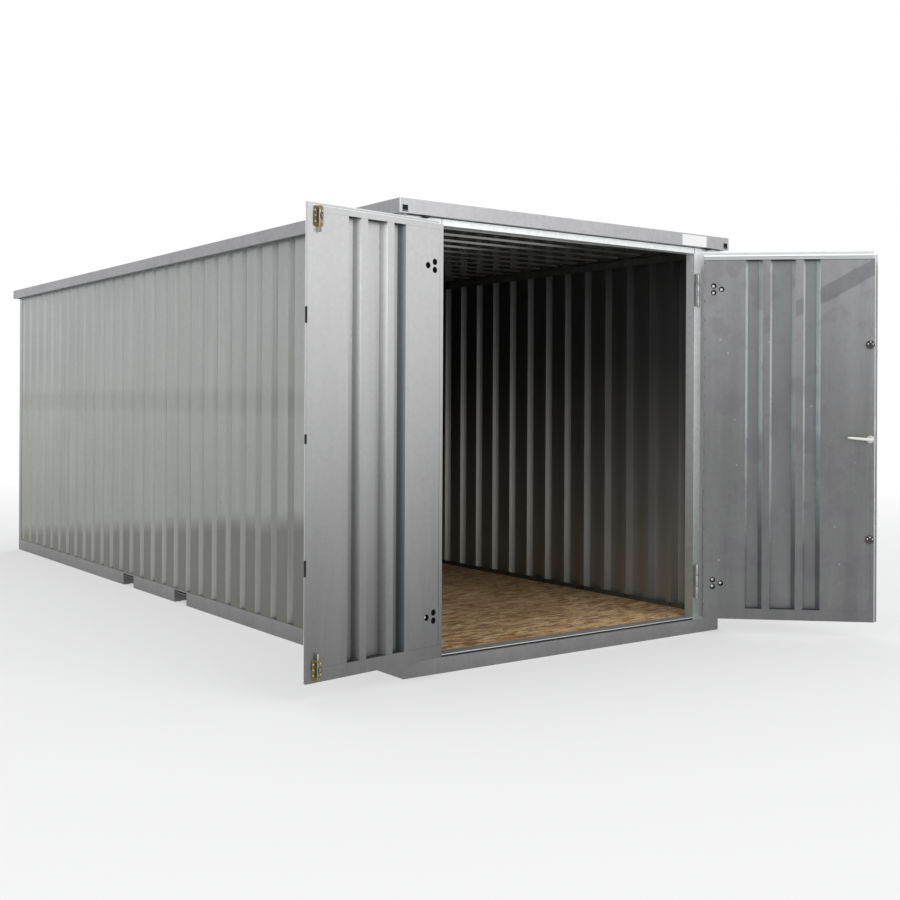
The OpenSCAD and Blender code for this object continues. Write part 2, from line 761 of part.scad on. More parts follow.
// The left leaf's free edge is stepped back on its outer side: two walls and a lip form the step.
module left_leaf_frame() galvanised() place_left_leaf() {
    edge = leaf_edge + left_leaf_w;
    step_x = edge - step_w;
    difference() {
        leaf_frame(left_leaf_w, left_z1);
        span([step_x, leaf_back - eps, leaf_z0 - eps], [edge + eps, step_b, left_z1 + eps]);
        for (k = [[lock_up_z, keeper_h], [latch_z, keeper_latch_h], [lock_low_z, keeper_h]])
            translate([edge, edge_b, k[0]]) cube([4 * leaf_frame_t, keeper_w, k[1]], center = true);
    }
    span([step_x, leaf_back, leaf_z0], [step_x - leaf_frame_t, step_b + leaf_frame_t, left_z1]);
    span([step_x, step_b, leaf_z0], [edge, step_b + leaf_frame_t, left_z1]);
    span([step_x - leaf_lip, leaf_back, leaf_z0], [step_x, leaf_sheet_out, left_z1]);
}

module left_leaf_flange() galvanised() place_left_leaf() leaf_flange(left_outer_w, left_z1);

module left_leaf_sheets() galvanised() place_left_leaf()
    leaf_sheets(left_leaf_w, left_outer_w,
        recess_places(left_rib_start, left_recesses, left_flat), left_z1);

module right_leaf_frame() galvanised() place_right_leaf() difference() {
    leaf_frame(right_leaf_w, right_z1);
    lock_cuts();
    spindle_cut();
}

// A hollow lip on the right leaf's free edge stands in the left leaf's step when both are closed.
module right_leaf_flange() galvanised() place_right_leaf() {
    edge = leaf_edge + right_leaf_w;
    lip_b = step_b - lip_clear;
    difference() {
        union() {
            leaf_flange(right_leaf_w, right_z1);
            span([edge - strip_w, flange_b, leaf_z0], [edge, leaf_back, right_z1]);
        }
        spindle_cut();
    }
    difference() {
        span([edge, flange_b, leaf_z0], [edge + lip_out, lip_b, right_z1]);
        span([edge + rebate_t, flange_b + rebate_t, leaf_z0 + rebate_t],
             [edge + lip_out - rebate_t, lip_b - rebate_t, right_z1 - rebate_t]);
    }
}

module right_leaf_sheets() galvanised() place_right_leaf() difference() {
    leaf_sheets(right_leaf_w, right_leaf_w,
        recess_places(right_rib_start, right_recesses, right_flat), right_z1);
    spindle_cut();
}

// Bolts of the left leaf

// The housing stands on the inner face with its outer end at z = 0 and runs up from there.
module bolt_housing() {
    translate([-bolt_plate_w / 2, leaf_in, 0]) cube([bolt_plate_w, bolt_plate_t, bolt_plate_h]);
    for (z = [0, bolt_plate_h - guide_h]) difference() {
        translate([-guide_w / 2, leaf_in + bolt_plate_t, z]) cube([guide_w, guide_d, guide_h]);
        translate([0, rod_b, z - eps]) cylinder(d = rod_d + 2 * rod_clear, h = guide_h + 2 * eps);
    }
}

module bolt_rod() {
    translate([0, rod_b, -rod_tip]) cylinder(d = rod_d, h = rod_tip + bolt_plate_h + rod_tail);
    translate([0, rod_b, bolt_plate_h / 2]) rotate([-90, 0, 0]) cylinder(d = knob_d, h = knob_l);
}

module place_upper_bolt() place_left_leaf()
    translate([rod_x, 0, left_z1 - bolt_up_end]) mirror([0, 0, 1]) children();

module place_lower_bolt() place_left_leaf() translate([rod_x, 0, leaf_z0 + bolt_low_end])
    children();

module bolt_housings() yellow_zinc() {
    place_upper_bolt() bolt_housing();
    place_lower_bolt() bolt_housing();
}

module upper_bolt_rod() bright_steel() place_upper_bolt() bolt_rod();

module lower_bolt_rod() bright_steel() place_lower_bolt() bolt_rod();

// Lock of the right leaf

module lever_axis() translate([leaf_edge + right_leaf_w - backset, 0, lever_z]) children();

module spindle_cut() lever_axis() translate([0, flange_b - rose_t - eps, 0]) rotate([-90, 0, 0])
    cylinder(d = neck_d + 2 * spindle_clear, h = leaf_in - flange_b + 2 * rose_t + 2 * eps);

// The line on the right leaf's free edge that the locking points lie on.
module place_edge() translate([leaf_edge + right_leaf_w, edge_b, 0]) children();

module lock_cuts() place_edge() {
    translate([0, 0, latch_z]) cube([4 * leaf_frame_t, latch_w, latch_h], center = true);
    for (z = [lock_up_z, lock_low_z])
        translate([0, 0, z]) cube([4 * leaf_frame_t, latch_w, pin_slot_h], center = true);
}

module lock_plate(h, slot_h) difference() {
    translate([0, -lock_plate_w / 2, -h / 2]) cube([lock_plate_t, lock_plate_w, h]);
    cube([4 * lock_plate_t, latch_w, slot_h], center = true);
}

module rose() rotate([-90, 0, 0]) cylinder(d = rose_d, h = rose_t);

module lock_plates() bright_steel() place_right_leaf() {
    place_edge() {
        translate([0, 0, latch_z]) lock_plate(lock_plate_h, latch_h);
        for (z = [lock_up_z, lock_low_z])
            translate([0, 0, z]) lock_plate(lock_plate_small_h, pin_slot_h);
    }
    for (z = [rose_up_z, rose_low_z])
        translate([leaf_edge + right_leaf_w - backset, leaf_in, z]) rose();
    difference() {
        lever_axis() {
            translate([0, leaf_in, 0]) rose();
            translate([0, flange_b - rose_t, 0]) rose();
        }
        spindle_cut();
    }
}

module lever_grip() rotate([0, -90, 0]) {
    cylinder(d = lever_d, h = lever_l);
    translate([0, 0, lever_l]) sphere(d = lever_d);
    sphere(d = lever_d);
}

module lever_handle() bright_steel() place_right_leaf() lever_axis() {
    translate([0, leaf_back - lever_stand, 0]) rotate([-90, 0, 0])
        cylinder(d = neck_d, h = leaf_t + 2 * lever_stand);
    translate([0, leaf_in + lever_stand, 0]) lever_grip();
    translate([0, leaf_back - lever_stand, 0]) lever_grip();
}

front_base_rail();
back_base_rail();
side_base_rails();
fork_pockets();
floor_bearers();
floor_board(0);  // floor_board_1
floor_board(1);  // floor_board_2
floor_board(2);  // floor_board_3
floor_board(3);  // floor_board_4
door_sill();
door_header();
front_posts();
back_posts();
left_wall(0);  // left_wall_front
left_wall(1);  // left_wall_middle
left_wall(2);  // left_wall_back
right_wall(0);  // right_wall_front
right_wall(1);  // right_wall_middle
right_wall(2);  // right_wall_back
back_wall(0);  // back_wall_left
back_wall(1);  // back_wall_right
wall_foot_angles();
wall_head_angles();
roof_sheet(0);  // roof_sheet_1
roof_sheet(1);  // roof_sheet_2
roof_sheet(2);  // roof_sheet_3
roof_sheet(3);  // roof_sheet_4
roof_sheet(4);  // roof_sheet_5
end_roof_trims();
side_roof_trims();
trim_buffers();
post_hinges();
left_leaf_frame();
left_leaf_flange();
left_leaf_sheets();
left_leaf_hinges();
bolt_housings();
upper_bolt_rod();
lower_bolt_rod();
right_leaf_frame();
right_leaf_flange();
right_leaf_sheets();
right_leaf_hinges();
lock_plates();
lever_handle();
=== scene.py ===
"""Looks of the storage container, in metres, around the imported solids."""
import json
import math

import bpy
from mathutils import Matrix, Vector

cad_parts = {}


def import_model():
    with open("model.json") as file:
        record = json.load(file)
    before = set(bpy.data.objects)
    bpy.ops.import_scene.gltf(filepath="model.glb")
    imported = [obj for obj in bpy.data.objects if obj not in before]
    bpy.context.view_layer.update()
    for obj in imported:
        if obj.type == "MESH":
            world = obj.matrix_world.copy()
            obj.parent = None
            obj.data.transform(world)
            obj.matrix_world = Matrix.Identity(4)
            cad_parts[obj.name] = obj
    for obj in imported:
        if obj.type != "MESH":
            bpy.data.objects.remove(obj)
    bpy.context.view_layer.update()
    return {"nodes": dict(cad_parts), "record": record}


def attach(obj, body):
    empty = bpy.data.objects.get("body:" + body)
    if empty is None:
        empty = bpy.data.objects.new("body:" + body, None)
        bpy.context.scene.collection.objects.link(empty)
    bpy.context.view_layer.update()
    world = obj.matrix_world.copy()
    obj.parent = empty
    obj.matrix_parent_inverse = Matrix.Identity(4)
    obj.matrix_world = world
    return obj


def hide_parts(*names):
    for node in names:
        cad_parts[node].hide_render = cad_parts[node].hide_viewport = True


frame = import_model()

NODES = frame["nodes"]

# Camera, refined from the corners of the container in the picture
CAMERA_PLACE = Vector((-4.0465, -7.3303, 1.2417))
CAMERA_YAW = math.radians(36.14)
CAMERA_ROLL = math.radians(0.272)
CAMERA_LENS = 48.04
SENSOR = 36.0
HORIZON_DROP = -0.05318

# Studio: name, place, target, size and watts of each lamp, and the colours around it
SOFTBOXES = (
    ("front_softbox", (1.5, -14.0, 6.5), (0, -2, 1), 8.0, 560),
    ("side_softbox", (-13.0, 2.0, 5.0), (0, 0, 1), 7.0, 80),
    ("corner_softbox", (-13.0, -7.5, 4.5), (0, -2, 1), 5.0, 600),
    ("overhead_softbox", (0, 0, 10.0), (0, 0, 0), 9.0, 300),
    ("back_softbox", (8.0, 9.0, 6.0), (0, 1, 1), 7.0, 420),
)
WHITE = (1, 1, 1)
SKY_TINT = (0.97, 0.985, 1)
FLOOR_GREY = (0.8, 0.8, 0.8)

# Each leaf as it stands open: x along the leaf from its axis, y towards its inner face.
# The right leaf runs along -x.
HINGE_X, HINGE_Y = 0.860, -2.8825
LEFT_TURN, RIGHT_TURN = math.radians(-171.4), math.radians(137.0)
LEFT_LEAF = Matrix.Translation((-HINGE_X, HINGE_Y, 0)) @ Matrix.Rotation(LEFT_TURN, 4, "Z")
RIGHT_LEAF = Matrix.Translation((HINGE_X, HINGE_Y, 0)) @ Matrix.Rotation(RIGHT_TURN, 4, "Z")
LEAF_OF = {"left_door": LEFT_LEAF, "lower_bolt": LEFT_LEAF, "upper_bolt": LEFT_LEAF,
           "right_door": RIGHT_LEAF, "lever": RIGHT_LEAF}
LEAF_FACE = 0.049
HINGE_HEIGHTS = (0.280, 1.852)
LOCK_X, LOCK_Z = -0.888, 1.055

# Barrel bolts on the left leaf: the rod's axis, the height of a housing and the foot of each one
ROD_X, ROD_Y, HOUSING_H = 0.742, 0.0605, 0.082
HOUSING_FEET = (0.104, 1.960)
PLATE_FACE = 0.052
STRAP_FOOT_Y = 0.054

# Faces of the container that added pieces stand on
POST_FACE = -2.870
WALL_FACE = 1.0368
BACK_FACE = 2.8668
ROOF_FACE = 2.1358
FLOOR_FACE = 0.0858

# Sheet profile: the pitch of its ribs
PITCH = 0.183

# Finishes and meshes
BUMP_STRENGTH = 0.6
SHARP = math.radians(35)
SMOOTH = math.radians(32)
WELD = 0.00001


class Nodes:
    """Short calls for making and joining shader nodes in one tree."""

    def __init__(self, tree):
        self.tree = tree

    def add(self, kind, **settings):
        node = self.tree.nodes.new(kind)
        for name, value in settings.items():
            setattr(node, name, value)
        return node

    def join(self, source, target):
        self.tree.links.new(source, target)

    def feed(self, socket, value):
        """Links a socket, or sets it where the value is a plain one."""
        if isinstance(value, bpy.types.NodeSocket):
            self.join(value, socket)
        elif isinstance(value, tuple) and len(value) == 3 and len(socket.default_value) == 4:
            socket.default_value = (*value, 1)
        else:
            socket.default_value = value

    def math(self, operation, a, b=0.0):
        node = self.add("ShaderNodeMath", operation=operation)
        self.feed(node.inputs[0], a)
        self.feed(node.inputs[1], b)
        return node.outputs[0]

    def times(self, a, b):
        return self.math("MULTIPLY", a, b)

    def off(self, value, middle):
        """How far a value is from a middle one."""
        return self.math("ABSOLUTE", self.math("SUBTRACT", value, middle))

    def ramp(self, value, low, high, to_low=0.0, to_high=1.0, smooth=False):
        node = self.add("ShaderNodeMapRange")
        node.interpolation_type = "SMOOTHSTEP" if smooth else "LINEAR"
        self.feed(node.inputs["Value"], value)
        self.feed(node.inputs["From Min"], low)
        self.feed(node.inputs["From Max"], high)
        self.feed(node.inputs["To Min"], to_low)
        self.feed(node.inputs["To Max"], to_high)
        return node.outputs["Result"]

    def mix(self, share, a, b):
        """Mixes two colours."""
        node = self.add("ShaderNodeMix", data_type="RGBA")
        self.feed(node.inputs["Factor"], share)
        self.feed(node.inputs[6], a)
        self.feed(node.inputs[7], b)
        return node.outputs[2]

    def blend(self, share, a, b):
        """Mixes two shaders."""
        node = self.add("ShaderNodeMixShader")
        self.join(share, node.inputs["Fac"])
        self.join(a.outputs[0], node.inputs[1])
        self.join(b.outputs[0], node.inputs[2])
        return node.outputs[0]

    def place(self):
        return self.add("ShaderNodeTexCoord").outputs["Object"]

    def facing(self):
        return self.add("ShaderNodeTexCoord").outputs["Normal"]

    def split(self, vector):
        """The X, Y and Z parts of a vector."""
        node = self.add("ShaderNodeSeparateXYZ")
        self.join(vector, node.inputs[0])
        return node.outputs

    def stretched(self, vector, scale, turn=(0, 0, 0), shift=(0, 0, 0)):
        node = self.add("ShaderNodeMapping")
        self.join(vector, node.inputs["Vector"])
        node.inputs["Scale"].default_value = scale
        node.inputs["Rotation"].default_value = turn
        node.inputs["Location"].default_value = shift
        return node.outputs["Vector"]

    def noise(self, vector, scale, detail=3.0, rough=0.5):
        node = self.add("ShaderNodeTexNoise")
        self.join(vector, node.inputs["Vector"])
        self.feed(node.inputs["Scale"], scale)
        node.inputs["Detail"].default_value = detail
        node.inputs["Roughness"].default_value = rough
        return node.outputs["Fac"]


def camera_and_stage():
    """The camera at the picture's angle, the world, the floor and the lamps."""
    forward = Vector((math.sin(CAMERA_YAW), math.cos(CAMERA_YAW), 0))
    level = Vector((math.cos(CAMERA_YAW), -math.sin(CAMERA_YAW), 0))
    upright = Vector((0, 0, 1))
    right = level * math.cos(CAMERA_ROLL) + upright * math.sin(CAMERA_ROLL)
    up = upright * math.cos(CAMERA_ROLL) - level * math.sin(CAMERA_ROLL)
    turn = Matrix((right, up, -forward)).transposed().to_4x4()
    data = bpy.data.cameras.new("camera")
    data.sensor_width = SENSOR
    data.lens = CAMERA_LENS
    data.shift_y = HORIZON_DROP
    camera = bpy.data.objects.new("camera", data)
    camera.matrix_world = Matrix.Translation(CAMERA_PLACE) @ turn
    bpy.context.scene.collection.objects.link(camera)
    bpy.context.scene.camera = camera
    bpy.context.scene.view_settings.view_transform = "Standard"
    world()
    floor()
    for softbox in SOFTBOXES:
        lamp(*softbox)


def seen_rays(n):
    """1 for the rays that show a background: camera, glossy and transmission rays."""
    path = n.add("ShaderNodeLightPath").outputs
    seen = n.math("MAXIMUM", path["Is Camera Ray"], path["Is Glossy Ray"])
    return n.math("MAXIMUM", seen, path["Is Transmission Ray"])


def world():
    """White to the camera and in reflections, softer as light on the object."""
    studio = bpy.data.worlds.new("studio")
    bpy.context.scene.world = studio
    studio.use_nodes = True
    n = Nodes(studio.node_tree)
    n.tree.nodes.clear()
    light = n.add("ShaderNodeBackground")
    n.feed(light.inputs["Color"], SKY_TINT)
    light.inputs["Strength"].default_value = 0.5
    seen = n.add("ShaderNodeBackground")
    n.feed(seen.inputs["Color"], WHITE)
    seen.inputs["Strength"].default_value = 1.0
    out = n.add("ShaderNodeOutputWorld")
    n.join(n.blend(seen_rays(n), light, seen), out.inputs["Surface"])


def floor():
    """A pale floor that turns white away from the container and keeps its shadow."""
    ready()
    bpy.ops.mesh.primitive_plane_add(size=120, location=(0, 0, 0))
    plane = bpy.context.active_object
    plane.name = "studio_floor"
    made = bpy.data.materials.new("studio_floor")
    made.use_nodes = True
    n = Nodes(made.node_tree)
    n.tree.nodes.clear()
    near = n.add("ShaderNodeBsdfDiffuse")
    n.feed(near.inputs["Color"], FLOOR_GREY)
    far = n.add("ShaderNodeEmission")
    n.feed(far.inputs["Color"], WHITE)
    reach = n.add("ShaderNodeVectorMath", operation="LENGTH")
    n.join(n.place(), reach.inputs[0])
    fade = n.ramp(reach.outputs["Value"], 3.0, 11.0, 0.45)
    out = n.add("ShaderNodeOutputMaterial")
    n.join(n.blend(n.times(fade, seen_rays(n)), near, far), out.inputs["Surface"])
    plane.data.materials.append(made)


def lamp(name, place, target, size, watts):
    """A square softbox that faces its target."""
    data = bpy.data.lights.new(name, "AREA")
    data.shape = "SQUARE"
    data.size = size
    data.energy = watts
    light = bpy.data.objects.new(name, data)
    aim = Vector(target) - Vector(place)
    light.location = place
    light.rotation_euler = aim.to_track_quat("-Z", "Y").to_euler()
    bpy.context.scene.collection.objects.link(light)


def group(name, inputs, outputs, fill):
    """A shader node group with named inputs and outputs, filled by a function."""
    tree = bpy.data.node_groups.new(name, "ShaderNodeTree")
    for label, kind, value in inputs:
        socket = tree.interface.new_socket(label, in_out="INPUT", socket_type="NodeSocket" + kind)
        socket.default_value = value
    for label, kind in outputs:
        tree.interface.new_socket(label, in_out="OUTPUT", socket_type="NodeSocket" + kind)
    nodes = Nodes(tree)
    source = nodes.add("NodeGroupInput")
    target = nodes.add("NodeGroupOutput")
    fill(nodes, source.outputs, target.inputs)
    return tree


def fill_spangle(n, given, out):
    """Zinc crystals: a random tone for each, with thin edges between them."""
    place = n.place()
    cells = n.add("ShaderNodeTexVoronoi", feature="F1")
    n.join(place, cells.inputs["Vector"])
    n.join(given["Size"], cells.inputs["Scale"])
    grey = n.add("ShaderNodeRGBToBW")
    n.join(cells.outputs["Color"], grey.inputs[0])
    fine = n.noise(place, 900.0, 2.0)
    n.join(grey.outputs[0], out["Tone"])
    n.join(n.times(grey.outputs[0], fine), out["Height"])


def fill_rain(n, given, out):
    """Soft marks that run down a wall, and broad clouds across it."""
    place = n.place()
    drawn = n.stretched(place, (1, 1, 0.08))
    thin = n.noise(drawn, given["Streaks"], 4.0, 0.6)
    wide = n.noise(place, given["Clouds"], 3.0, 0.55)
    n.join(n.ramp(thin, 0.3, 0.7), out["Streak"])
    n.join(n.ramp(wide, 0.3, 0.7), out["Cloud"])


def fill_height(n, given, out):
    """From 0 at the low height to 1 at the high one, and a band near the ground."""
    parts = n.split(n.place())
    n.join(n.ramp(parts["Z"], given["Low"], given["High"], smooth=True), out["Rise"])
    n.join(n.ramp(parts["Z"], 0.22, 0.0, smooth=True), out["Splash"])


def fill_cabin_shade(n, given, out):
    """1 on faces that look into the cabin along the given axis, and the share of the lighter tone
    of their painted shade, which darkens upwards.
    """
    place = n.place()
    shape = n.add("ShaderNodeNewGeometry")
    faced = n.add("ShaderNodeVectorMath", operation="MULTIPLY")
    n.join(shape.outputs["True Normal"], faced.inputs[0])
    n.join(given["Axis"], faced.inputs[1])
    turned = n.add("ShaderNodeVectorMath", operation="DOT_PRODUCT")
    n.join(faced.outputs[0], turned.inputs[0])
    n.join(place, turned.inputs[1])
    n.join(n.ramp(turned.outputs["Value"], -0.02, -0.08), out["Inside"])
    parts = n.split(place)
    n.join(n.ramp(parts["Z"], 0.2, 1.7, 1.0, 0.0, smooth=True), out["Foot"])


def fill_strands(n, given, out):
    """Flat wood strands in four directions, laid over each other."""
    place = n.place()
    tone = None
    top = None
    for turn, shift in ((0.2, 0.0), (1.0, 3.7), (-0.7, 9.1), (1.7, 5.3)):
        along = n.stretched(place, (14.0, 62.0, 1.0), (0, 0, turn), (shift, shift, 0))
        wave = n.noise(along, 0.35, 2.0)
        bent = n.add("ShaderNodeVectorMath", operation="ADD")
        n.join(along, bent.inputs[0])
        n.join(wave, bent.inputs[1])
        cells = n.add("ShaderNodeTexVoronoi", feature="F1", distance="MANHATTAN")
        n.join(bent.outputs[0], cells.inputs["Vector"])
        cells.inputs["Scale"].default_value = 1.0
        parts = n.add("ShaderNodeSeparateColor")
        n.join(cells.outputs["Color"], parts.inputs[0])
        if tone is None:
            tone = parts.outputs["Red"]
            top = parts.outputs["Green"]
            continue
        over = n.math("GREATER_THAN", parts.outputs["Green"], top)
        tone = n.ramp(over, 0.0, 1.0, tone, parts.outputs["Red"])
        top = n.math("MAXIMUM", parts.outputs["Green"], top)
    grain = n.noise(n.stretched(place, (40, 320, 1)), 1.0, 3.0)
    n.join(n.math("ADD", n.times(tone, 0.8), n.times(grain, 0.2)), out["Tone"])
    n.join(n.math("ADD", top, n.times(grain, 0.15)), out["Height"])


GROUPS = {}


def make_groups():
    """The node groups that the finishes share."""
    GROUPS["spangle"] = group(
        "zinc_spangle", [("Size", "Float", 55.0)],
        [("Tone", "Float"), ("Height", "Float")], fill_spangle)
    GROUPS["rain"] = group(
        "rain_marks", [("Streaks", "Float", 9.0), ("Clouds", "Float", 1.4)],
        [("Streak", "Float"), ("Cloud", "Float")], fill_rain)
    GROUPS["height"] = group(
        "height_tone", [("Low", "Float", 0.1), ("High", "Float", 2.1)],
        [("Rise", "Float"), ("Splash", "Float")], fill_height)
    GROUPS["cabin_shade_mask"] = group(
        "cabin_painted_shade", [("Axis", "Vector", (1, 0, 0))],
        [("Inside", "Float"), ("Foot", "Float")], fill_cabin_shade)
    GROUPS["strands"] = group(
        "wood_strands", [], [("Tone", "Float"), ("Height", "Float")], fill_strands)


def use(n, name, **values):
    """Places a node group in a material with its own values."""
    node = n.add("ShaderNodeGroup", node_tree=GROUPS[name])
    for label, value in values.items():
        node.inputs[label].default_value = value
    return node.outputs


def material(name, metallic, roughness, fill):
    """A Principled material; fill returns its colour, roughness, height and depth of bump."""
    made = bpy.data.materials.new(name)
    made.use_nodes = True
    n = Nodes(made.node_tree)
    shader = made.node_tree.nodes["Principled BSDF"]
    shader.inputs["Metallic"].default_value = metallic
    shader.inputs["Roughness"].default_value = roughness
    colour, rough, height, depth = fill(n)
    n.feed(shader.inputs["Base Color"], colour)
    n.feed(shader.inputs["Roughness"], rough)
    bump = n.add("ShaderNodeBump")
    bump.inputs["Strength"].default_value = BUMP_STRENGTH
    bump.inputs["Distance"].default_value = depth
    n.join(height, bump.inputs["Height"])
    n.join(bump.outputs[0], shader.inputs["Normal"])
    return made


def zinc(name, light, dark, low, high, spangle=0.05, streaks=9.0, metallic=0.75, inner=None,
         cabin_shade_tones=((0.10, 0.103, 0.102), (0.36, 0.352, 0.325)), clouds=0.10,
         cloud_tone=(0.16, 0.155, 0.15), rough=(0.34, 0.46), marks_and_light=None):
    """Galvanised sheet from a light tone above to a dark one near the ground, a painted reflection
    of the bright sky above and the darker ground below.

    inner is the axis along which its cabin faces look; those faces are painted in shade. The
    sheet's own function, given last, adds its stains and its painted light.
    """

    def fill(n):
        rise = use(n, "height", Low=low, High=high)
        rain = use(n, "rain", Streaks=streaks)
        crystal = use(n, "spangle")
        # Painted reflection: lighter high up, where the sheet mirrors the sky, darker low down,
        # where it mirrors the ground
        base = n.mix(rise["Rise"], dark, light)
        clouded = n.mix(n.times(rain["Cloud"], clouds), base, cloud_tone)
        streaked = n.mix(n.times(rain["Streak"], 0.08), clouded, (0.75, 0.75, 0.74))
        tone = n.ramp(crystal["Tone"], 0.1, 0.9, 1.0 - spangle, 1.0 + spangle)
        colour = n.add("ShaderNodeVectorMath", operation="SCALE")
        n.join(streaked, colour.inputs[0])
        n.join(tone, colour.inputs["Scale"])
        finish = n.mix(n.times(rise["Splash"], 0.2), colour.outputs[0], (0.14, 0.13, 0.12))
        # The sheet's own stains and painted light
        if marks_and_light is not None:
            finish = marks_and_light(n, finish)
        # Painted shade on the faces inside the cabin, darker upwards
        if inner is not None:
            cabin = use(n, "cabin_shade_mask", Axis=inner)
            shade = n.mix(cabin["Foot"], *cabin_shade_tones)
            finish = n.mix(cabin["Inside"], finish, shade)
        return finish, n.ramp(rain["Cloud"], 0.0, 1.0, *rough), crystal["Height"], 0.0003

    return material(name, metallic, 0.4, fill)


def leaf_place(n, leaf, way):
    """Where a point is on a leaf, and how far its face turns along it.

    Returns the plain place, the distance along the leaf, out of it and up, and the turn.
    """
    place = n.place()
    moved = n.add("ShaderNodeVectorMath", operation="SUBTRACT")
    n.join(place, moved.inputs[0])
    moved.inputs[1].default_value = leaf.translation
    spans = []
    for source, axis in ((moved.outputs[0], (way, 0, 0)), (moved.outputs[0], (0, 1, 0)),
                         (n.facing(), (way, 0, 0))):
        dot = n.add("ShaderNodeVectorMath", operation="DOT_PRODUCT")
        n.join(source, dot.inputs[0])
        dot.inputs[1].default_value = leaf.to_3x3() @ Vector(axis)
        spans.append(dot.outputs["Value"])
    return place, spans[0], spans[1], n.split(place)["Z"], spans[2]


def wall_painted_reflections(n, colour):
    """Painted reflections: paler bends that face the doors, a darker band at the height of the
    horizon, and darker outer faces below a line that climbs towards the doors.
    """
    pale, ground_reflection, painted_dark = (0.86, 0.88, 0.84), (0.125, 0.122, 0.105), (0.22, 0.215, 0.195)
    place = n.place()
    parts = n.split(place)
    turn = n.split(n.facing())["Y"]
    # Painted reflection: bends that face the doors are paler, less so towards the back
    faded = n.ramp(parts["Y"], -2.8, 1.5, 0.27, 0.10)
    bends = n.mix(n.times(n.ramp(turn, -0.6, -0.85), faded), colour, pale)
    # Painted reflection of the ground: outer faces darker below a line that climbs towards the
    # doors, less on the bends
    outside = n.ramp(n.math("ABSOLUTE", parts["X"]), 1.0355, 1.0362)
    level = n.ramp(parts["Y"], -2.8, 2.8, 0.72, 0.16)
    edge = n.math("ADD", level, n.times(n.noise(place, 3.0, 3.0), 0.10))
    below = n.ramp(n.math("SUBTRACT", edge, parts["Z"]), 0.0, 0.10)
    kept = n.ramp(turn, -0.6, -0.85, 0.8, 0.3)
    ground_reflected = n.mix(n.times(n.times(below, outside), kept), bends, ground_reflection)
    # Painted reflection of the horizon: a darker band at 1.24 m
    band = n.times(n.ramp(n.off(parts["Z"], 1.24), 0.04, 0.09, 1.0, 0.0), 0.22)
    return n.mix(band, ground_reflected, painted_dark)


def right_leaf_stains_and_light(n, colour):
    """Painted highlights on the bends above, a darker band of painted shade that rises across the
    leaf, blotches and pale drops.
    """
    place, along, out, height, side = leaf_place(n, RIGHT_LEAF, -1)
    # The recesses: darker and greener on their flats, with painted highlights on their bends
    fading = n.ramp(height, 0.45, 1.1, 0.2, 1.0)
    bends = n.times(n.ramp(n.math("ABSOLUTE", side), 0.6, 0.85), fading)
    flats = n.times(n.ramp(out, 0.012, 0.009), n.ramp(height, 0.5, 1.2, 0.05, 0.35))
    greener = n.mix(flats, colour, (0.105, 0.125, 0.128))
    paler = n.mix(n.times(bends, 0.85), greener, (0.70, 0.76, 0.76))
    paler = n.mix(n.times(bends, n.ramp(side, 0.6, 0.85)), paler, WHITE)
    # Painted shade: a darker band across the leaf's face, on its lands only
    middle = n.math("ADD", n.times(along, 0.555), 1.462)
    wavy = n.math("ADD", n.off(height, middle), n.times(n.noise(place, 6.0, 3.0), 0.03))
    band = n.times(n.ramp(wavy, 0.054, 0.064, 1.0, 0.0), n.ramp(out, 0.042, 0.047))
    strength = n.ramp(along, 0.08, 0.66, 0.02, 0.42)
    darker = n.mix(n.times(band, strength), paler, (0.075, 0.08, 0.095))
    # Blotches and drops
    blot = n.ramp(n.noise(place, 5.0, 5.0, 0.6), 0.52, 0.60)
    blotched = n.mix(n.times(blot, 0.22), darker, (0.11, 0.095, 0.125))
    drops = n.add("ShaderNodeTexVoronoi", feature="F1")
    n.join(place, drops.inputs["Vector"])
    drops.inputs["Scale"].default_value = 9.0
    dot = n.ramp(drops.outputs["Distance"], 0.03, 0.055, 0.4, 0.0)
    dotted = n.mix(dot, blotched, (0.55, 0.56, 0.57))
    # The frame's lip along the top, with a seam under it, a painted highlight along its top edge
    # and a fold across it
    lip = n.mix(n.times(n.ramp(height, 2.008, 2.010), 0.55), dotted, (0.56, 0.58, 0.58))
    bright = n.mix(n.times(n.ramp(height, 2.026, 2.028), 0.9), lip, (0.98, 0.98, 0.98))
    seam = n.ramp(n.off(height, 2.0065), 0.001, 0.0035, 0.5, 0.0)
    fold = n.ramp(n.off(height, 2.0245), 0.0005, 0.0025, 0.4, 0.0)
    return n.mix(n.math("MAXIMUM", seam, fold), bright, (0.05, 0.05, 0.055))


def left_leaf_painted_light(n, colour):
    """Bends that face the free edge: painted highlights on them above, and painted shade on them in
    the recess next to the hinges.
    """
    _, along, _, height, side = leaf_place(n, LEFT_LEAF, 1)
    turned_on = n.ramp(side, 0.6, 0.85)
    near = n.times(turned_on, n.ramp(along, 0.275, 0.285, 1.0, 0.0))
    first = n.times(near, n.ramp(along, 0.24, 0.25))
    bends = n.times(turned_on, n.ramp(height, 0.6, 1.0))
    # Painted highlight on the bends above, painted shade on the bends of the first recess
    paler = n.mix(n.times(bends, 0.15), colour, (0.25, 0.27, 0.27))
    return n.mix(n.times(first, 0.72), paler, (0.07, 0.085, 0.095))


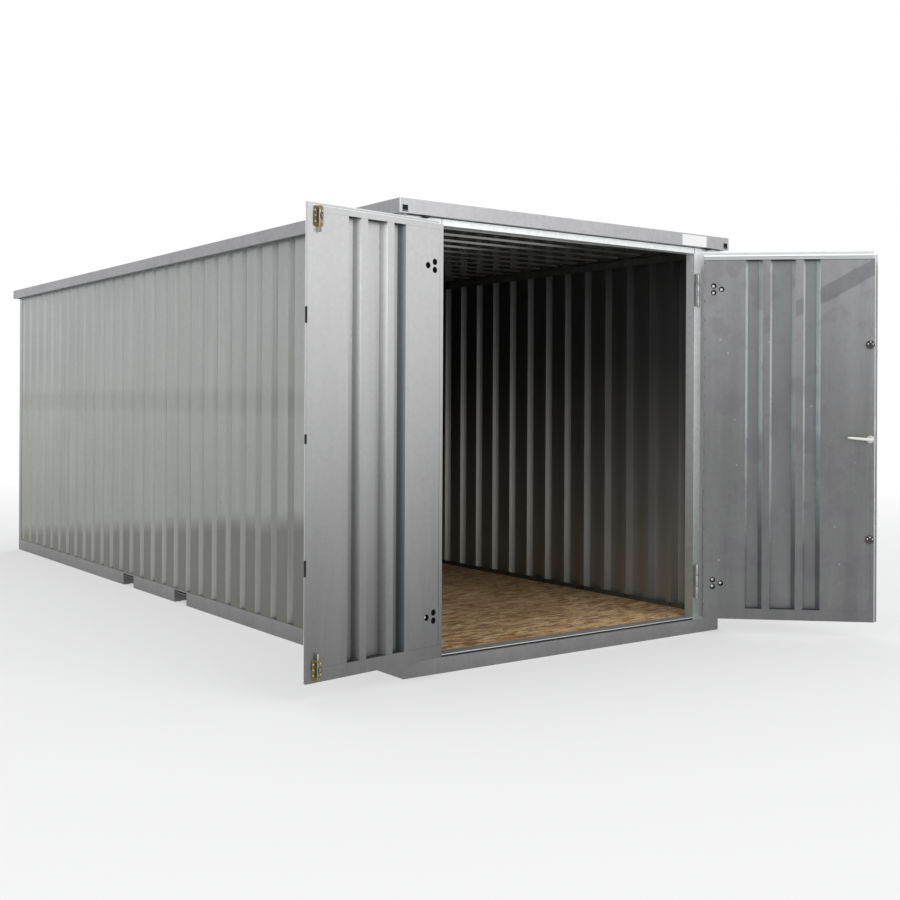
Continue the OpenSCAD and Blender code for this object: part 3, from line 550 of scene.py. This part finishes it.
def board_material():
    """Oriented strand board, pressed and worn, with painted shade that deepens into the cabin."""

    def fill(n):
        strands = use(n, "strands")
        rain = use(n, "rain", Streaks=3.0, Clouds=1.0)
        ramp = n.add("ShaderNodeValToRGB")
        n.join(strands["Tone"], ramp.inputs["Fac"])
        stops = [(0.0, (0.13, 0.055, 0.02)), (0.25, (0.36, 0.19, 0.08)), (0.5, (0.66, 0.41, 0.19)),
                 (0.75, (0.86, 0.60, 0.32)), (1.0, (0.98, 0.80, 0.55))]
        elements = ramp.color_ramp.elements
        while len(elements) < len(stops):
            elements.new(0.5)
        for element, (place, colour) in zip(elements, stops):
            element.position = place
            element.color = (*colour, 1)
        wear_and_shade = n.mix(n.times(rain["Cloud"], 0.25), ramp.outputs["Color"], (0.26, 0.16, 0.08))
        # Painted shade: the boards darken deeper into the cabin
        parts = n.split(n.place())
        cabin_depth_shade = n.ramp(parts["Y"], -2.7, 0.3, 0.0, 0.5)
        wear_and_shade = n.mix(cabin_depth_shade, wear_and_shade, (0.12, 0.07, 0.035))
        return wear_and_shade, n.ramp(strands["Tone"], 0.0, 1.0, 0.6, 0.8), strands["Height"], 0.0012

    return material("strand_board", 0.0, 0.7, fill)


def plain_finish(name, colour, metallic, roughness, scale=60.0, spread=0.3):
    """One colour broken by fine mottling, for zinc parts and rubber."""

    def fill(n):
        fine = n.noise(n.place(), scale, 4.0)
        dark = tuple(part * (1 - spread) for part in colour)
        tone = n.mix(n.ramp(fine, 0.3, 0.7), dark, colour)
        rough = n.ramp(fine, 0.3, 0.7, roughness + 0.1, roughness - 0.05)
        return tone, rough, fine, 0.0002

    return material(name, metallic, roughness, fill)


def dress_nodes():
    """Gives every carried-over solid its finish."""
    # Each sheet's two tones set its painted reflection, light high up and dark near the ground; the
    # cabin tones are painted shade
    sheet = zinc("galvanised_sheet", (0.325, 0.338, 0.331), (0.27, 0.278, 0.26), 0.3, 1.8,
                 inner=(1, 0, 0), spangle=0.025, clouds=0.06, marks_and_light=wall_painted_reflections)
    back = zinc("back_wall_sheet", (0.40, 0.41, 0.405), (0.27, 0.275, 0.26), 0.3, 1.8,
                inner=(0, 1, 0))
    roof = zinc("roof_sheet", (0.42, 0.425, 0.42), (0.3, 0.3, 0.3), 0.3, 1.8, inner=(0, 0, 1),
                cabin_shade_tones=((0.26, 0.26, 0.25), (0.26, 0.26, 0.25)), rough=(0.12, 0.2))
    trim = zinc("galvanised_trim", (0.42, 0.42, 0.43), (0.24, 0.24, 0.24), 0.2, 1.9)
    side_trim = zinc("side_trim", (0.30, 0.30, 0.31), (0.24, 0.24, 0.24), 0.2, 1.9)
    post = zinc("post_sheet", (0.86, 0.89, 0.89), (0.36, 0.385, 0.38), 0.1, 1.9, metallic=0.45)
    left = zinc("left_door_sheet", (0.55, 0.55, 0.552), (0.155, 0.156, 0.156), 0.0, 2.0,
                spangle=0.025, clouds=0.06, marks_and_light=left_leaf_painted_light)
    right = zinc("right_door_sheet", (0.235, 0.238, 0.248), (0.145, 0.147, 0.147), 1.0, 2.1,
                 clouds=0.12, cloud_tone=(0.10, 0.09, 0.12), spangle=0.03, marks_and_light=right_leaf_stains_and_light)
    rebate = zinc("rebate_sheet", (0.56, 0.57, 0.575), (0.22, 0.225, 0.225), 1.94, 2.03,
                  metallic=0.5)
    angle = zinc("angle_steel", (0.10, 0.10, 0.10), (0.12, 0.12, 0.115), 0.0, 2.0)
    base = zinc("base_steel", (0.25, 0.252, 0.26), (0.21, 0.21, 0.215), 0.0, 0.1)
    sill = zinc("sill_steel", (0.50, 0.52, 0.54), (0.30, 0.31, 0.32), 0.0, 0.09, metallic=0.5)
    bright = plain_finish("bright_zinc", (0.55, 0.56, 0.57), 0.85, 0.3)
    yellow = plain_finish("yellow_zinc", (0.30, 0.24, 0.085), 0.6, 0.4, scale=140.0, spread=0.55)
    rubber = plain_finish("black_rubber", (0.015, 0.015, 0.016), 0.0, 0.6)
    board = board_material()
    finishes = {
        "galvanised_sheet": sheet, "galvanised_trim": trim, "door_sheet": left,
        "angle_steel": angle, "base_steel": base, "bright_zinc": bright, "yellow_zinc": yellow,
        "black_rubber": rubber, "strand_board": board,
    }
    own = {
        "back_wall_left": back, "back_wall_right": back, "front_posts": post, "door_header": post,
        "right_leaf_frame": right, "right_leaf_flange": rebate, "right_leaf_sheets": right,
        "left_leaf_flange": rebate, "side_roof_trims": side_trim, "door_sill": sill,
    }
    own.update({f"roof_sheet_{i}": roof for i in range(1, 6)})
    for part in frame["record"]["subparts"]:
        node = NODES[part["node"]]
        node.data.materials.clear()
        node.data.materials.append(own.get(part["node"], finishes[part["material_slot"]]))
    return {
        "yellow": yellow, "bright": bright, "rubber": rubber, "trim": trim,
        "rod": plain_finish("rod_zinc", (0.30, 0.29, 0.26), 0.85, 0.3),
        "dark": plain_finish("dark_casting", (0.055, 0.05, 0.045), 0.5, 0.45),
        # Painted deep shade for wells, slots, joints, grooves and the ends of recesses
        "deep_shade": plain_finish("deep_shadow_steel", (0.012, 0.012, 0.012), 0.2, 0.8),
        "shade_strip": plain_finish("recess_shade_steel", (0.035, 0.045, 0.045), 0.3, 0.7),
        # Painted highlight on the nuts that catch the light
        "nut": plain_finish("lit_nut_zinc", (0.80, 0.80, 0.78), 0.6, 0.3),
        "hinge": plain_finish("knuckle_zinc", (0.52, 0.53, 0.53), 0.5, 0.35),
        "plate": plain_finish("hinge_zinc", (0.32, 0.33, 0.33), 0.7, 0.4),
        "cream": plain_finish("cream_lacquer", (0.82, 0.79, 0.70), 0.0, 0.35, spread=0.06),
        # Painted highlight on folded edges, the sill's nosing and the trim's corner beads
        "hem": plain_finish("edge_highlight_zinc", (0.86, 0.87, 0.88), 0.35, 0.35, spread=0.08),
        "paper": plain_finish("blank_paper", (0.88, 0.88, 0.87), 0.0, 0.55, spread=0.03),
    }


def ready():
    """Object mode with nothing selected."""
    if bpy.context.mode != "OBJECT":
        bpy.ops.object.mode_set(mode="OBJECT")
    bpy.ops.object.select_all(action="DESELECT")


def held(piece):
    """Only this piece selected and active."""
    ready()
    piece.select_set(True)
    bpy.context.view_layer.objects.active = piece
    return piece


def settled(piece, name, place=None):
    """Puts a piece's place, turn and size into its mesh."""
    piece.name = name
    if place is not None:
        piece.matrix_world = place @ piece.matrix_world
    held(piece)
    bpy.ops.object.transform_apply(location=True, rotation=True, scale=True)
    return piece


def block(name, low, high):
    """A block between two corners, for shaping."""
    ready()
    middle = [(a + b) / 2 for a, b in zip(low, high)]
    lengths = [b - a for a, b in zip(low, high)]
    bpy.ops.mesh.primitive_cube_add(size=1, location=middle, scale=lengths)
    return settled(bpy.context.active_object, name)


def blank(name, centre, radius, depth, along="Z", sides=24, ends="NGON"):
    """A round blank around its centre, for shaping."""
    ready()
    turn = {"X": (0, math.pi / 2, 0), "Y": (-math.pi / 2, 0, 0), "Z": (0, 0, 0)}[along]
    bpy.ops.mesh.primitive_cylinder_add(vertices=sides, radius=radius, depth=depth, location=centre,
                                        rotation=turn, end_fill_type=ends)
    return settled(bpy.context.active_object, name)


def pick_faces(piece, wanted):
    """Opens a piece with the faces selected whose middle and normal pass."""
    held(piece)
    bpy.ops.object.mode_set(mode="EDIT")
    bpy.ops.mesh.select_mode(type="FACE")
    bpy.ops.mesh.select_all(action="DESELECT")
    bpy.ops.object.mode_set(mode="OBJECT")
    for face in piece.data.polygons:
        face.select = bool(wanted(face.center, face.normal))
    bpy.ops.object.mode_set(mode="EDIT")


def pick_edges(piece, wanted):
    """Opens a piece with the edges selected whose two ends pass."""
    held(piece)
    bpy.ops.object.mode_set(mode="EDIT")
    bpy.ops.mesh.select_mode(type="EDGE")
    bpy.ops.mesh.select_all(action="DESELECT")
    bpy.ops.object.mode_set(mode="OBJECT")
    points = piece.data.vertices
    for edge in piece.data.edges:
        a, b = (points[i].co for i in edge.vertices)
        edge.select = bool(wanted(a, b))
    bpy.ops.object.mode_set(mode="EDIT")


def push(x=0.0, y=0.0, z=0.0):
    """Extrudes what is selected."""
    bpy.ops.mesh.extrude_region_move(TRANSFORM_OT_translate={"value": (x, y, z)})


def shrink(x, y, z, centre):
    """Scales what is selected about a point."""
    bpy.ops.transform.resize(value=(x, y, z), center_override=centre)


def close():
    bpy.ops.object.mode_set(mode="OBJECT")


def weld(piece):
    """Opens a piece with everything selected and its doubled points merged."""
    held(piece)
    bpy.ops.object.mode_set(mode="EDIT")
    bpy.ops.mesh.select_all(action="SELECT")
    bpy.ops.mesh.remove_doubles(threshold=WELD)


def applied(piece, kind, **settings):
    """Adds a modifier with its settings and applies it."""
    held(piece)
    added = piece.modifiers.new(kind.lower(), kind)
    for name, value in settings.items():
        setattr(added, name, value)
    bpy.ops.object.modifier_apply(modifier=added.name)
    return piece


def soften(piece, width, segments=2):
    """Bevels the sharp edges."""
    return applied(piece, "BEVEL", width=width, segments=segments, limit_method="ANGLE",
                   angle_limit=SHARP)


def round_corners(piece, along, width, segments=4):
    """Rounds the corners of a plate whose thickness runs along the given axis (0, 1 or 2)."""
    others = [i for i in range(3) if i != along]
    pick_edges(piece, lambda a, b: all(abs(a[i] - b[i]) < 1e-6 for i in others))
    bpy.ops.mesh.bevel(offset=width, segments=segments)
    close()
    return piece


def joined(name, pieces):
    """One piece made of several; the first keeps its own."""
    ready()
    for piece in pieces:
        piece.select_set(True)
    bpy.context.view_layer.objects.active = pieces[0]
    if len(pieces) > 1:
        bpy.ops.object.join()
    pieces[0].name = name
    return pieces[0]


def copies(model, places, keep=False):
    """Copies of a model, each with its own mesh and moved by a vector or a matrix."""
    made = []
    for place in places:
        twin = model.copy()
        twin.data = model.data.copy()
        twin.data.transform(place if isinstance(place, Matrix) else Matrix.Translation(place))
        bpy.context.scene.collection.objects.link(twin)
        made.append(twin)
    if not keep:
        bpy.data.objects.remove(model)
    return made


def fitted(piece, body, finish, slot, *stands_for):
    """Smooths, paints and mounts a finished piece."""
    held(piece)
    bpy.ops.object.shade_smooth_by_angle(angle=SMOOTH)
    piece.data.materials.clear()
    piece.data.materials.append(FINISH[finish])
    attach(piece, body)
    if stands_for:
        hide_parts(*stands_for)
    return piece


def mounted(name, pieces, body, finish, slot, *stands_for):
    """Joins pieces, moves those of a leaf onto it, and fits them to their body."""
    whole = settled(joined(name, pieces), name, LEAF_OF.get(body))
    return fitted(whole, body, finish, slot, *stands_for)


def rounded_node(node, width, body, finish, slot):
    """A copy of a CAD solid with its sharp edges broken, in the solid's place."""
    twin = NODES[node].copy()
    twin.data = NODES[node].data.copy()
    twin.parent = None
    bpy.context.scene.collection.objects.link(twin)
    twin.hide_render = twin.hide_viewport = False
    weld(settled(twin, node + "_rounded"))
    bpy.ops.mesh.dissolve_limited(angle_limit=math.radians(0.5))
    close()
    soften(twin, width)
    return fitted(twin, body, finish, slot, node)


def screw_head(name, radius, height):
    """A round head on y = 0 that faces +y, with a dished middle."""
    head = blank(name, (0, height / 2, 0), radius, height, "Y", 12)
    pick_faces(head, lambda c, n: n.y > 0.9)
    bpy.ops.mesh.inset(thickness=radius * 0.25, depth=height * 0.25)
    bpy.ops.mesh.inset(thickness=radius * 0.3, depth=-height * 0.4)
    close()
    return head


def turned(direction, spot):
    """Moves a head that faces +y to a spot, to face +x, -x, +y or +z."""
    angle, axis = {"+x": (-math.pi / 2, "Z"), "-x": (math.pi / 2, "Z"), "+y": (0, "Z"),
                   "+z": (math.pi / 2, "X")}[direction]
    return Matrix.Translation(spot) @ Matrix.Rotation(angle, 4, axis)


def bolt_strap(foot):
    """A strap bent over the rod, with two feet on the plate."""
    radius, width, foot_w = 0.0085, 0.012, 0.009
    strap = blank("bolt_strap", (ROD_X, ROD_Y, foot + width / 2), radius, width, ends="NOTHING")
    pick_faces(strap, lambda c, n: True)
    bpy.ops.mesh.bisect(plane_co=(ROD_X, ROD_Y, foot), plane_no=(0, 1, 0), clear_inner=True)
    close()
    pick_edges(strap, lambda a, b: abs(a.y - ROD_Y) < WELD and abs(b.y - ROD_Y) < WELD)
    push(y=STRAP_FOOT_Y - ROD_Y)
    close()
    for side in (-1, 1):
        pick_edges(strap, lambda a, b: abs(a.y - STRAP_FOOT_Y) < WELD
                   and abs(b.y - STRAP_FOOT_Y) < WELD
                   and (a.x - ROD_X) * side > 0 and abs(a.x - b.x) < WELD)
        push(x=side * foot_w)
        close()
    weld(strap)
    bpy.ops.mesh.normals_make_consistent(inside=False)
    close()
    applied(strap, "SOLIDIFY", thickness=0.0019, offset=-1.0)
    return soften(strap, 0.0004, 1)


def bolt_housings():
    """Both housings: a pressed plate with two straps, and six screws."""
    half_w = 0.025
    plate = block("bolt_plate", (ROD_X - half_w, LEAF_FACE, 0),
                  (ROD_X + half_w, PLATE_FACE, HOUSING_H))
    round_corners(plate, 1, 0.007)
    pick_faces(plate, lambda c, n: n.y > 0.9)
    bpy.ops.mesh.inset(thickness=0.0035, depth=-0.0006)
    close()
    soften(plate, 0.0004, 1)
    model = joined("housing", [plate, bolt_strap(0.0), bolt_strap(HOUSING_H - 0.012)])
    mounted("bolt_housings_pressed", copies(model, [(0, 0, z) for z in HOUSING_FEET]),
            "left_door", "yellow", "yellow_zinc", "bolt_housings")
    screw = screw_head("housing_screw", 0.0042, 0.0026)
    spots = [(x, PLATE_FACE - 0.0005, z + up) for z in HOUSING_FEET for x in (0.7235, 0.7605)
             for up in (0.018, 0.041, 0.064)]
    mounted("housing_screws", copies(screw, spots), "left_door", "bright", "bright_zinc")


def bolt_rods():
    """The two rods, each with a knob and a ring."""
    for node, body, low, foot in (("lower_bolt_rod", "lower_bolt", 0.102, HOUSING_FEET[0]),
                                  ("upper_bolt_rod", "upper_bolt", 1.935, HOUSING_FEET[1])):
        middle = foot + HOUSING_H / 2
        rod = blank(node + "_bar", (ROD_X, ROD_Y, low + 0.0545), 0.006, 0.109)
        pick_faces(rod, lambda c, n: abs(n.z) > 0.9)
        bpy.ops.mesh.bevel(offset=0.0015, segments=2)
        close()
        knob = blank(node + "_knob", (ROD_X, 0.0665, middle), 0.004, 0.012, "Y", 16)
        pick_faces(knob, lambda c, n: n.y > 0.9)
        bpy.ops.mesh.inset(thickness=0.0008)
        push(y=0.003)
        shrink(1.5, 1, 1.5, (ROD_X, 0.0755, middle))
        push(y=0.001)
        shrink(0.7, 1, 0.7, (ROD_X, 0.0765, middle))
        close()
        mounted(node + "_turned", [rod, knob], body, "rod", "bright_zinc", node)
        ready()
        centre = (ROD_X + 0.001, 0.0735, middle)
        bpy.ops.mesh.primitive_torus_add(location=centre, major_radius=0.0125, minor_radius=0.0018,
                                         major_segments=28, minor_segments=8,
                                         rotation=(math.pi / 2, 0, 0))
        ring = settled(bpy.context.active_object, node + "_ring")
        pick_faces(ring, lambda c, n: True)
        shrink(0.55, 1, 1, centre)
        close()
        mounted(node + "_ring", [ring], body, "dark", "yellow_zinc")


def lever():
    """The cast lever on both faces of the right leaf, on one spindle."""
    tilt = Matrix.Rotation(math.radians(-4.5), 4, "Y")
    # Length and narrowing of each step, from the spindle to the tip
    steps = ((0.030, 0.97), (0.035, 0.92), (0.030, 0.84), (0.009, 0.80), (0.003, 0.55))
    parts = []
    for y in (0.094, -0.039):
        axis = Vector((LOCK_X, y, LOCK_Z))
        grip = blank("lever_grip", (LOCK_X + 0.008, y, LOCK_Z), 0.0076, 0.016, "X", 20)
        pick_faces(grip, lambda c, n: n.x > 0.9)
        reach = LOCK_X + 0.016
        for step, part in steps:
            push(x=step)
            reach += step
            shrink(1, part, part, (reach, y, LOCK_Z))
        close()
        pick_faces(grip, lambda c, n: n.x < -0.9)
        push(x=-0.005)
        shrink(1, 0.75, 0.75, (LOCK_X - 0.005, y, LOCK_Z))
        push(x=-0.002)
        shrink(1, 0.5, 0.5, (LOCK_X - 0.007, y, LOCK_Z))
        close()
        grip.data.transform(Matrix.Translation(axis) @ tilt @ Matrix.Translation(-axis))
        parts.append(grip)
    spindle = blank("lever_spindle", (LOCK_X, 0.0275, LOCK_Z), 0.0069, 0.131, "Y", 20)
    pick_faces(spindle, lambda c, n: abs(n.y) > 0.9)
    bpy.ops.mesh.bevel(offset=0.001, segments=2)
    close()
    mounted("lever_cast", parts + [spindle], "lever", "cream", "bright_zinc", "lever_handle")


def lock_roses():
    """Round covers of the two outer locking points, with three screw heads each."""
    ring = 0.0135
    dark, heads = [], []
    screw = screw_head("rose_screw", 0.0042, 0.0024)
    for z in (0.527, 1.555):
        cover = blank("rose_cover", (LOCK_X, 0.0531, z), 0.0215, 0.0078, "Y", 36)
        pick_faces(cover, lambda c, n: n.y > 0.9)
        bpy.ops.mesh.inset(thickness=0.0016)
        bpy.ops.mesh.inset(thickness=0.001, depth=-0.0012)
        bpy.ops.mesh.inset(thickness=0.0125)
        bpy.ops.mesh.inset(thickness=0.0012, depth=0.0035)
        close()
        dark.append(soften(cover, 0.0003, 1))
        for turn in (math.radians(degrees) for degrees in (15, 90, 165)):
            heads.append((LOCK_X + ring * math.cos(turn), 0.0554, z + ring * math.sin(turn)))
    mounted("rose_covers", dark, "right_door", "dark", "bright_zinc")
    mounted("rose_screws", copies(screw, heads), "right_door", "bright", "bright_zinc")


def hinge_bolts():
    """Wells painted in deep shade behind the access holes, with the nut and stud end of each hinge
    bolt.
    """
    well = blank("bolt_well", (0, 0.0352, 0), 0.0148, 0.0236, "Y", 24)
    pick_faces(well, lambda c, n: n.y > 0.9)
    bpy.ops.mesh.delete(type="FACE")
    close()
    applied(well, "SOLIDIFY", thickness=0.0005, offset=1.0)
    nut = blank("hinge_nut", (0, 0.0285, 0), 0.0092, 0.009, "Y", 6)
    pick_faces(nut, lambda c, n: n.y > 0.9)
    bpy.ops.mesh.inset(thickness=0.0034)
    push(y=0.005)
    close()
    soften(nut, 0.0006, 2)
    spots = [(x, 0, z + up) for z in HINGE_HEIGHTS
             for x, up in ((0.076, 0.018), (0.076, -0.018), (0.118, 0))]
    for side, name in ((1, "left"), (-1, "right")):
        body = name + "_door"
        places = [Vector((x * side, y, z)) for x, y, z in spots]
        mounted(name + "_bolt_wells", copies(well, places, keep=True), body, "deep_shade", "bright_zinc")
        lit = places
        if name == "left":
            # Only one of the left leaf's studs catches the light: its nut is painted bright, the
            # others in deep shade
            lit, painted_dark = places[2:3], places[:2] + places[3:]
            mounted("left_shaded_nuts", copies(nut, painted_dark, keep=True), body, "deep_shade", "bright_zinc")
        mounted(name + "_hinge_nuts", copies(nut, lit, keep=True), body, "nut", "bright_zinc")
    for model in (well, nut):
        bpy.data.objects.remove(model)


def hem(name, low, high, width=0.0008):
    """A long folded edge: a slim bar with rounded edges and a shallow groove on its wide sides."""
    bar = block(name, low, high)
    size = [b - a for a, b in zip(low, high)]
    flat = size.index(min(size))
    pick_faces(bar, lambda c, n: abs(n[flat]) > 0.9)
    bpy.ops.mesh.inset(thickness=min(size) * 0.3, depth=-min(size) * 0.08)
    close()
    return soften(bar, min(width, min(size) * 0.3), 2)


def leaf_hems():
    """Folded edges along the top of both leaves and down their free edges, painted as bright
    highlights.
    """
    bars = {
        "left": (((0.012, 0.0032, 2.0612), (0.772, 0.0072, 2.0656)),
                 ((0.026, 0.0476, 2.0432), (0.794, 0.0496, 2.0460)),
                 ((0.7930, 0.0315, 0.094), (0.7946, 0.0332, 2.043))),
        "right": (((-0.912, 0.0032, 2.0516), (-0.012, 0.0072, 2.0556)),
                  ((-0.911, 0.0476, 2.0322), (-0.026, 0.0496, 2.0350)),
                  ((-0.9130, 0.0476, 0.094), (-0.9105, 0.0497, 2.033))),
    }
    for name, corners in bars.items():
        made = [hem("hem", low, high) for low, high in corners]
        mounted(name + "_leaf_hems", made, name + "_door", "hem", "door_sheet")


def recess_shade_strips():
    """Thin plates painted in deep shade at the head and foot of each recess."""
    near, far, foot, thick = 0.0085, 0.0472, 0.1482, 0.0010
    for side, name, head, spans in (
            (1, "left", 2.0188, ((0.251, 0.322), (0.357, 0.473), (0.508, 0.579))),
            (-1, "right", 2.0088, ((0.243, 0.334), (0.3705, 0.5065), (0.543, 0.634)))):
        made = []
        for low, high in spans:
            a, b = sorted((side * low, side * high))
            for z, z_low, z_high in ((foot, foot, foot + thick), (head, head - thick, head)):
                shade_strip = block("shade_strip", (a, near, z_low), (b, far, z_high))
                pick_faces(shade_strip, lambda c, n: n.y < -0.9)
                shrink(1 - 0.031 / (b - a), 1, 1, ((a + b) / 2, near, z))
                close()
                made.append(soften(shade_strip, 0.0002, 1))
        mounted(name + "_recess_shade_strips", made, name + "_door", "shade_strip", "door_sheet")


def keeper_covers():
    """Covers with a slot on the left leaf's free edge, over the three locking places, painted in
    deep shade.
    """
    made = []
    for z, half in ((0.560, 0.034), (1.088, 0.020), (1.595, 0.034)):
        cover = block("keeper_cover", (0.7946, 0.0335, z - half), (0.7962, 0.0470, z + half))
        round_corners(cover, 0, 0.003)
        pick_faces(cover, lambda c, n: n.x > 0.9)
        bpy.ops.mesh.inset(thickness=0.003, depth=-0.0008)
        close()
        made.append(soften(cover, 0.0003, 1))
    mounted("keeper_covers", made, "left_door", "deep_shade", "door_sheet")


def clinch_marks():
    """Small pressed points along the right leaf's hinge edge, where its two sheets are clinched."""
    mark = screw_head("clinch", 0.0034, 0.0012)
    spots = [(-0.0288, 0.0488, 0.165 + 0.1015 * i) for i in range(19)]
    mounted("clinch_marks", copies(mark, spots), "right_door", "dark", "door_sheet")


def post_plates():
    """Thin plates under the hinge knuckles on the posts."""
    made = []
    for side in (-1, 1):
        for z in HINGE_HEIGHTS:
            low, high = sorted((side * 0.8375, side * 0.8525))
            plate = block("post_plate", (low, POST_FACE - 0.0012, z - 0.0865),
                          (high, POST_FACE + 0.0002, z + 0.0865))
            round_corners(plate, 1, 0.003)
            made.append(soften(plate, 0.0003, 1))
    mounted("post_hinge_plates", made, "container", "plate", "bright_zinc")


def header_joints():
    """Strips painted in deep shade at the joints between the header and the posts, and under the
    roof trim.
    """
    back = POST_FACE + 0.0002
    made = [hem("joint", (x - 0.0012, POST_FACE - 0.0008, 2.0525), (x + 0.0012, back, 2.0835))
            for x in (-0.8400, 0.8400)]
    made.append(hem("joint", (-1.036, POST_FACE - 0.0012, 2.0800), (1.036, back, 2.0836)))
    mounted("header_joints", made, "container", "deep_shade", "galvanised_trim")


def sill_edge():
    """The rounded nosing of the sill with a painted highlight, and the groove under it in painted
    deep shade.
    """
    reach = 0.8385
    nosing = hem("sill_nosing", (-reach, POST_FACE - 0.0022, 0.0836),
                 (reach, POST_FACE + 0.0030, 0.0868), 0.0012)
    fitted(nosing, "container", "hem", "base_steel")
    groove = hem("sill_groove", (-reach, POST_FACE - 0.0012, 0.0765),
                 (reach, POST_FACE + 0.0004, 0.0822))
    fitted(groove, "container", "deep_shade", "base_steel")


def trim_details():
    """A blank sticker, inner corners behind the cut-outs in painted deep shade, and beads with a
    painted highlight on the trim's corners.
    """
    sticker = block("blank_sticker", (0.720, -2.8956, 2.0865), (0.907, -2.8950, 2.1435))
    round_corners(sticker, 1, 0.004)
    pick_faces(sticker, lambda c, n: n.y < -0.9)
    bpy.ops.mesh.inset(thickness=0.002, depth=-0.0001)
    close()
    fitted(sticker, "container", "paper", "galvanised_trim")
    gusset = block("trim_gusset", (-0.022, -0.003, 0.0), (0.022, 0.0, 0.046))
    round_corners(gusset, 1, 0.004)
    pick_faces(gusset, lambda c, n: n.y < -0.9)
    bpy.ops.mesh.inset(thickness=0.004, depth=-0.0008)
    close()
    spots = [(x, -2.8860, 2.0870) for x in (-1.059, 1.059)]
    mounted("trim_gussets", copies(gusset, spots), "container", "deep_shade", "galvanised_trim")
    beads = []
    for x in (-1.0868, 1.0868):
        for y in (-2.8948, 2.8948):
            bead = blank("corner_bead", (x, y, 2.1170), 0.0016, 0.062, sides=12)
            pick_faces(bead, lambda c, n: abs(n.z) > 0.9)
            bpy.ops.mesh.bevel(offset=0.0008, segments=2)
            close()
            beads.append(bead)
    mounted("trim_corner_beads", beads, "container", "hem", "galvanised_trim")


def lap_rivets():
    """Rivets on the laps of the wall, back and roof sheets."""
    heights = [0.20 + 0.23 * i for i in range(8)]
    rivet = screw_head("lap_rivet", 0.0045, 0.0020)
    spots = []
    for x, way in ((-WALL_FACE, "-x"), (WALL_FACE, "+x")):
        spots += [turned(way, (x, y + 0.012, z)) for y in (-0.989, 0.841) for z in heights]
    spots += [turned("+y", (-0.5 * PITCH + 0.012, BACK_FACE, z)) for z in heights]
    spots += [turned("+z", (-5 * PITCH + PITCH * i, y + 0.010, ROOF_FACE))
              for y in (-1.7385, -0.6405, 0.4575, 1.5555) for i in range(11)]
    mounted("lap_rivets", copies(rivet, spots), "container", "trim", "galvanised_trim")


def angle_bolts():
    """Bolts on the foot angles, one at every second rib of the side walls."""
    bolt = blank("angle_bolt", (0, 0.0025, 0), 0.0075, 0.005, "Y", 6)
    pick_faces(bolt, lambda c, n: n.y > 0.9)
    bpy.ops.mesh.inset(thickness=0.0022)
    push(y=0.0014)
    close()
    soften(bolt, 0.0005, 1)
    rows = [(i - 7) * 2 * PITCH for i in range(15)]
    spots = [turned(way, (x, y, 0.100)) for x, way in ((-0.995, "+x"), (0.995, "-x")) for y in rows]
    mounted("angle_bolts", copies(bolt, spots), "container", "dark", "bright_zinc")


def floor_screws():
    """Screws beside the joints of the floor boards."""
    screw = screw_head("floor_screw", 0.0045, 0.0009)
    spots = [turned("+z", (x, y + off, FLOOR_FACE)) for y in (-1.389, 0.0155, 1.420)
             for off in (-0.022, 0.022) for x in (-0.90, -0.45, 0.0, 0.45, 0.90)]
    mounted("floor_screws", copies(screw, spots), "container", "dark", "strand_board")


def detail_pieces():
    """Everything that is added to the solids or stands in for them."""
    rounded_node("trim_buffers", 0.0025, "container", "rubber", "black_rubber")
    rounded_node("post_hinges", 0.0006, "container", "hinge", "bright_zinc")
    rounded_node("left_leaf_hinges", 0.0006, "left_door", "hinge", "bright_zinc")
    rounded_node("right_leaf_hinges", 0.0006, "right_door", "hinge", "bright_zinc")
    rounded_node("lock_plates", 0.0005, "right_door", "bright", "bright_zinc")
    bolt_housings()
    bolt_rods()
    lever()
    lock_roses()
    hinge_bolts()
    leaf_hems()
    recess_shade_strips()
    keeper_covers()
    clinch_marks()
    post_plates()
    header_joints()
    sill_edge()
    trim_details()
    lap_rivets()
    angle_bolts()
    floor_screws()


camera_and_stage()
make_groups()
FINISH = dress_nodes()
detail_pieces()

bpy.context.view_layer.update()
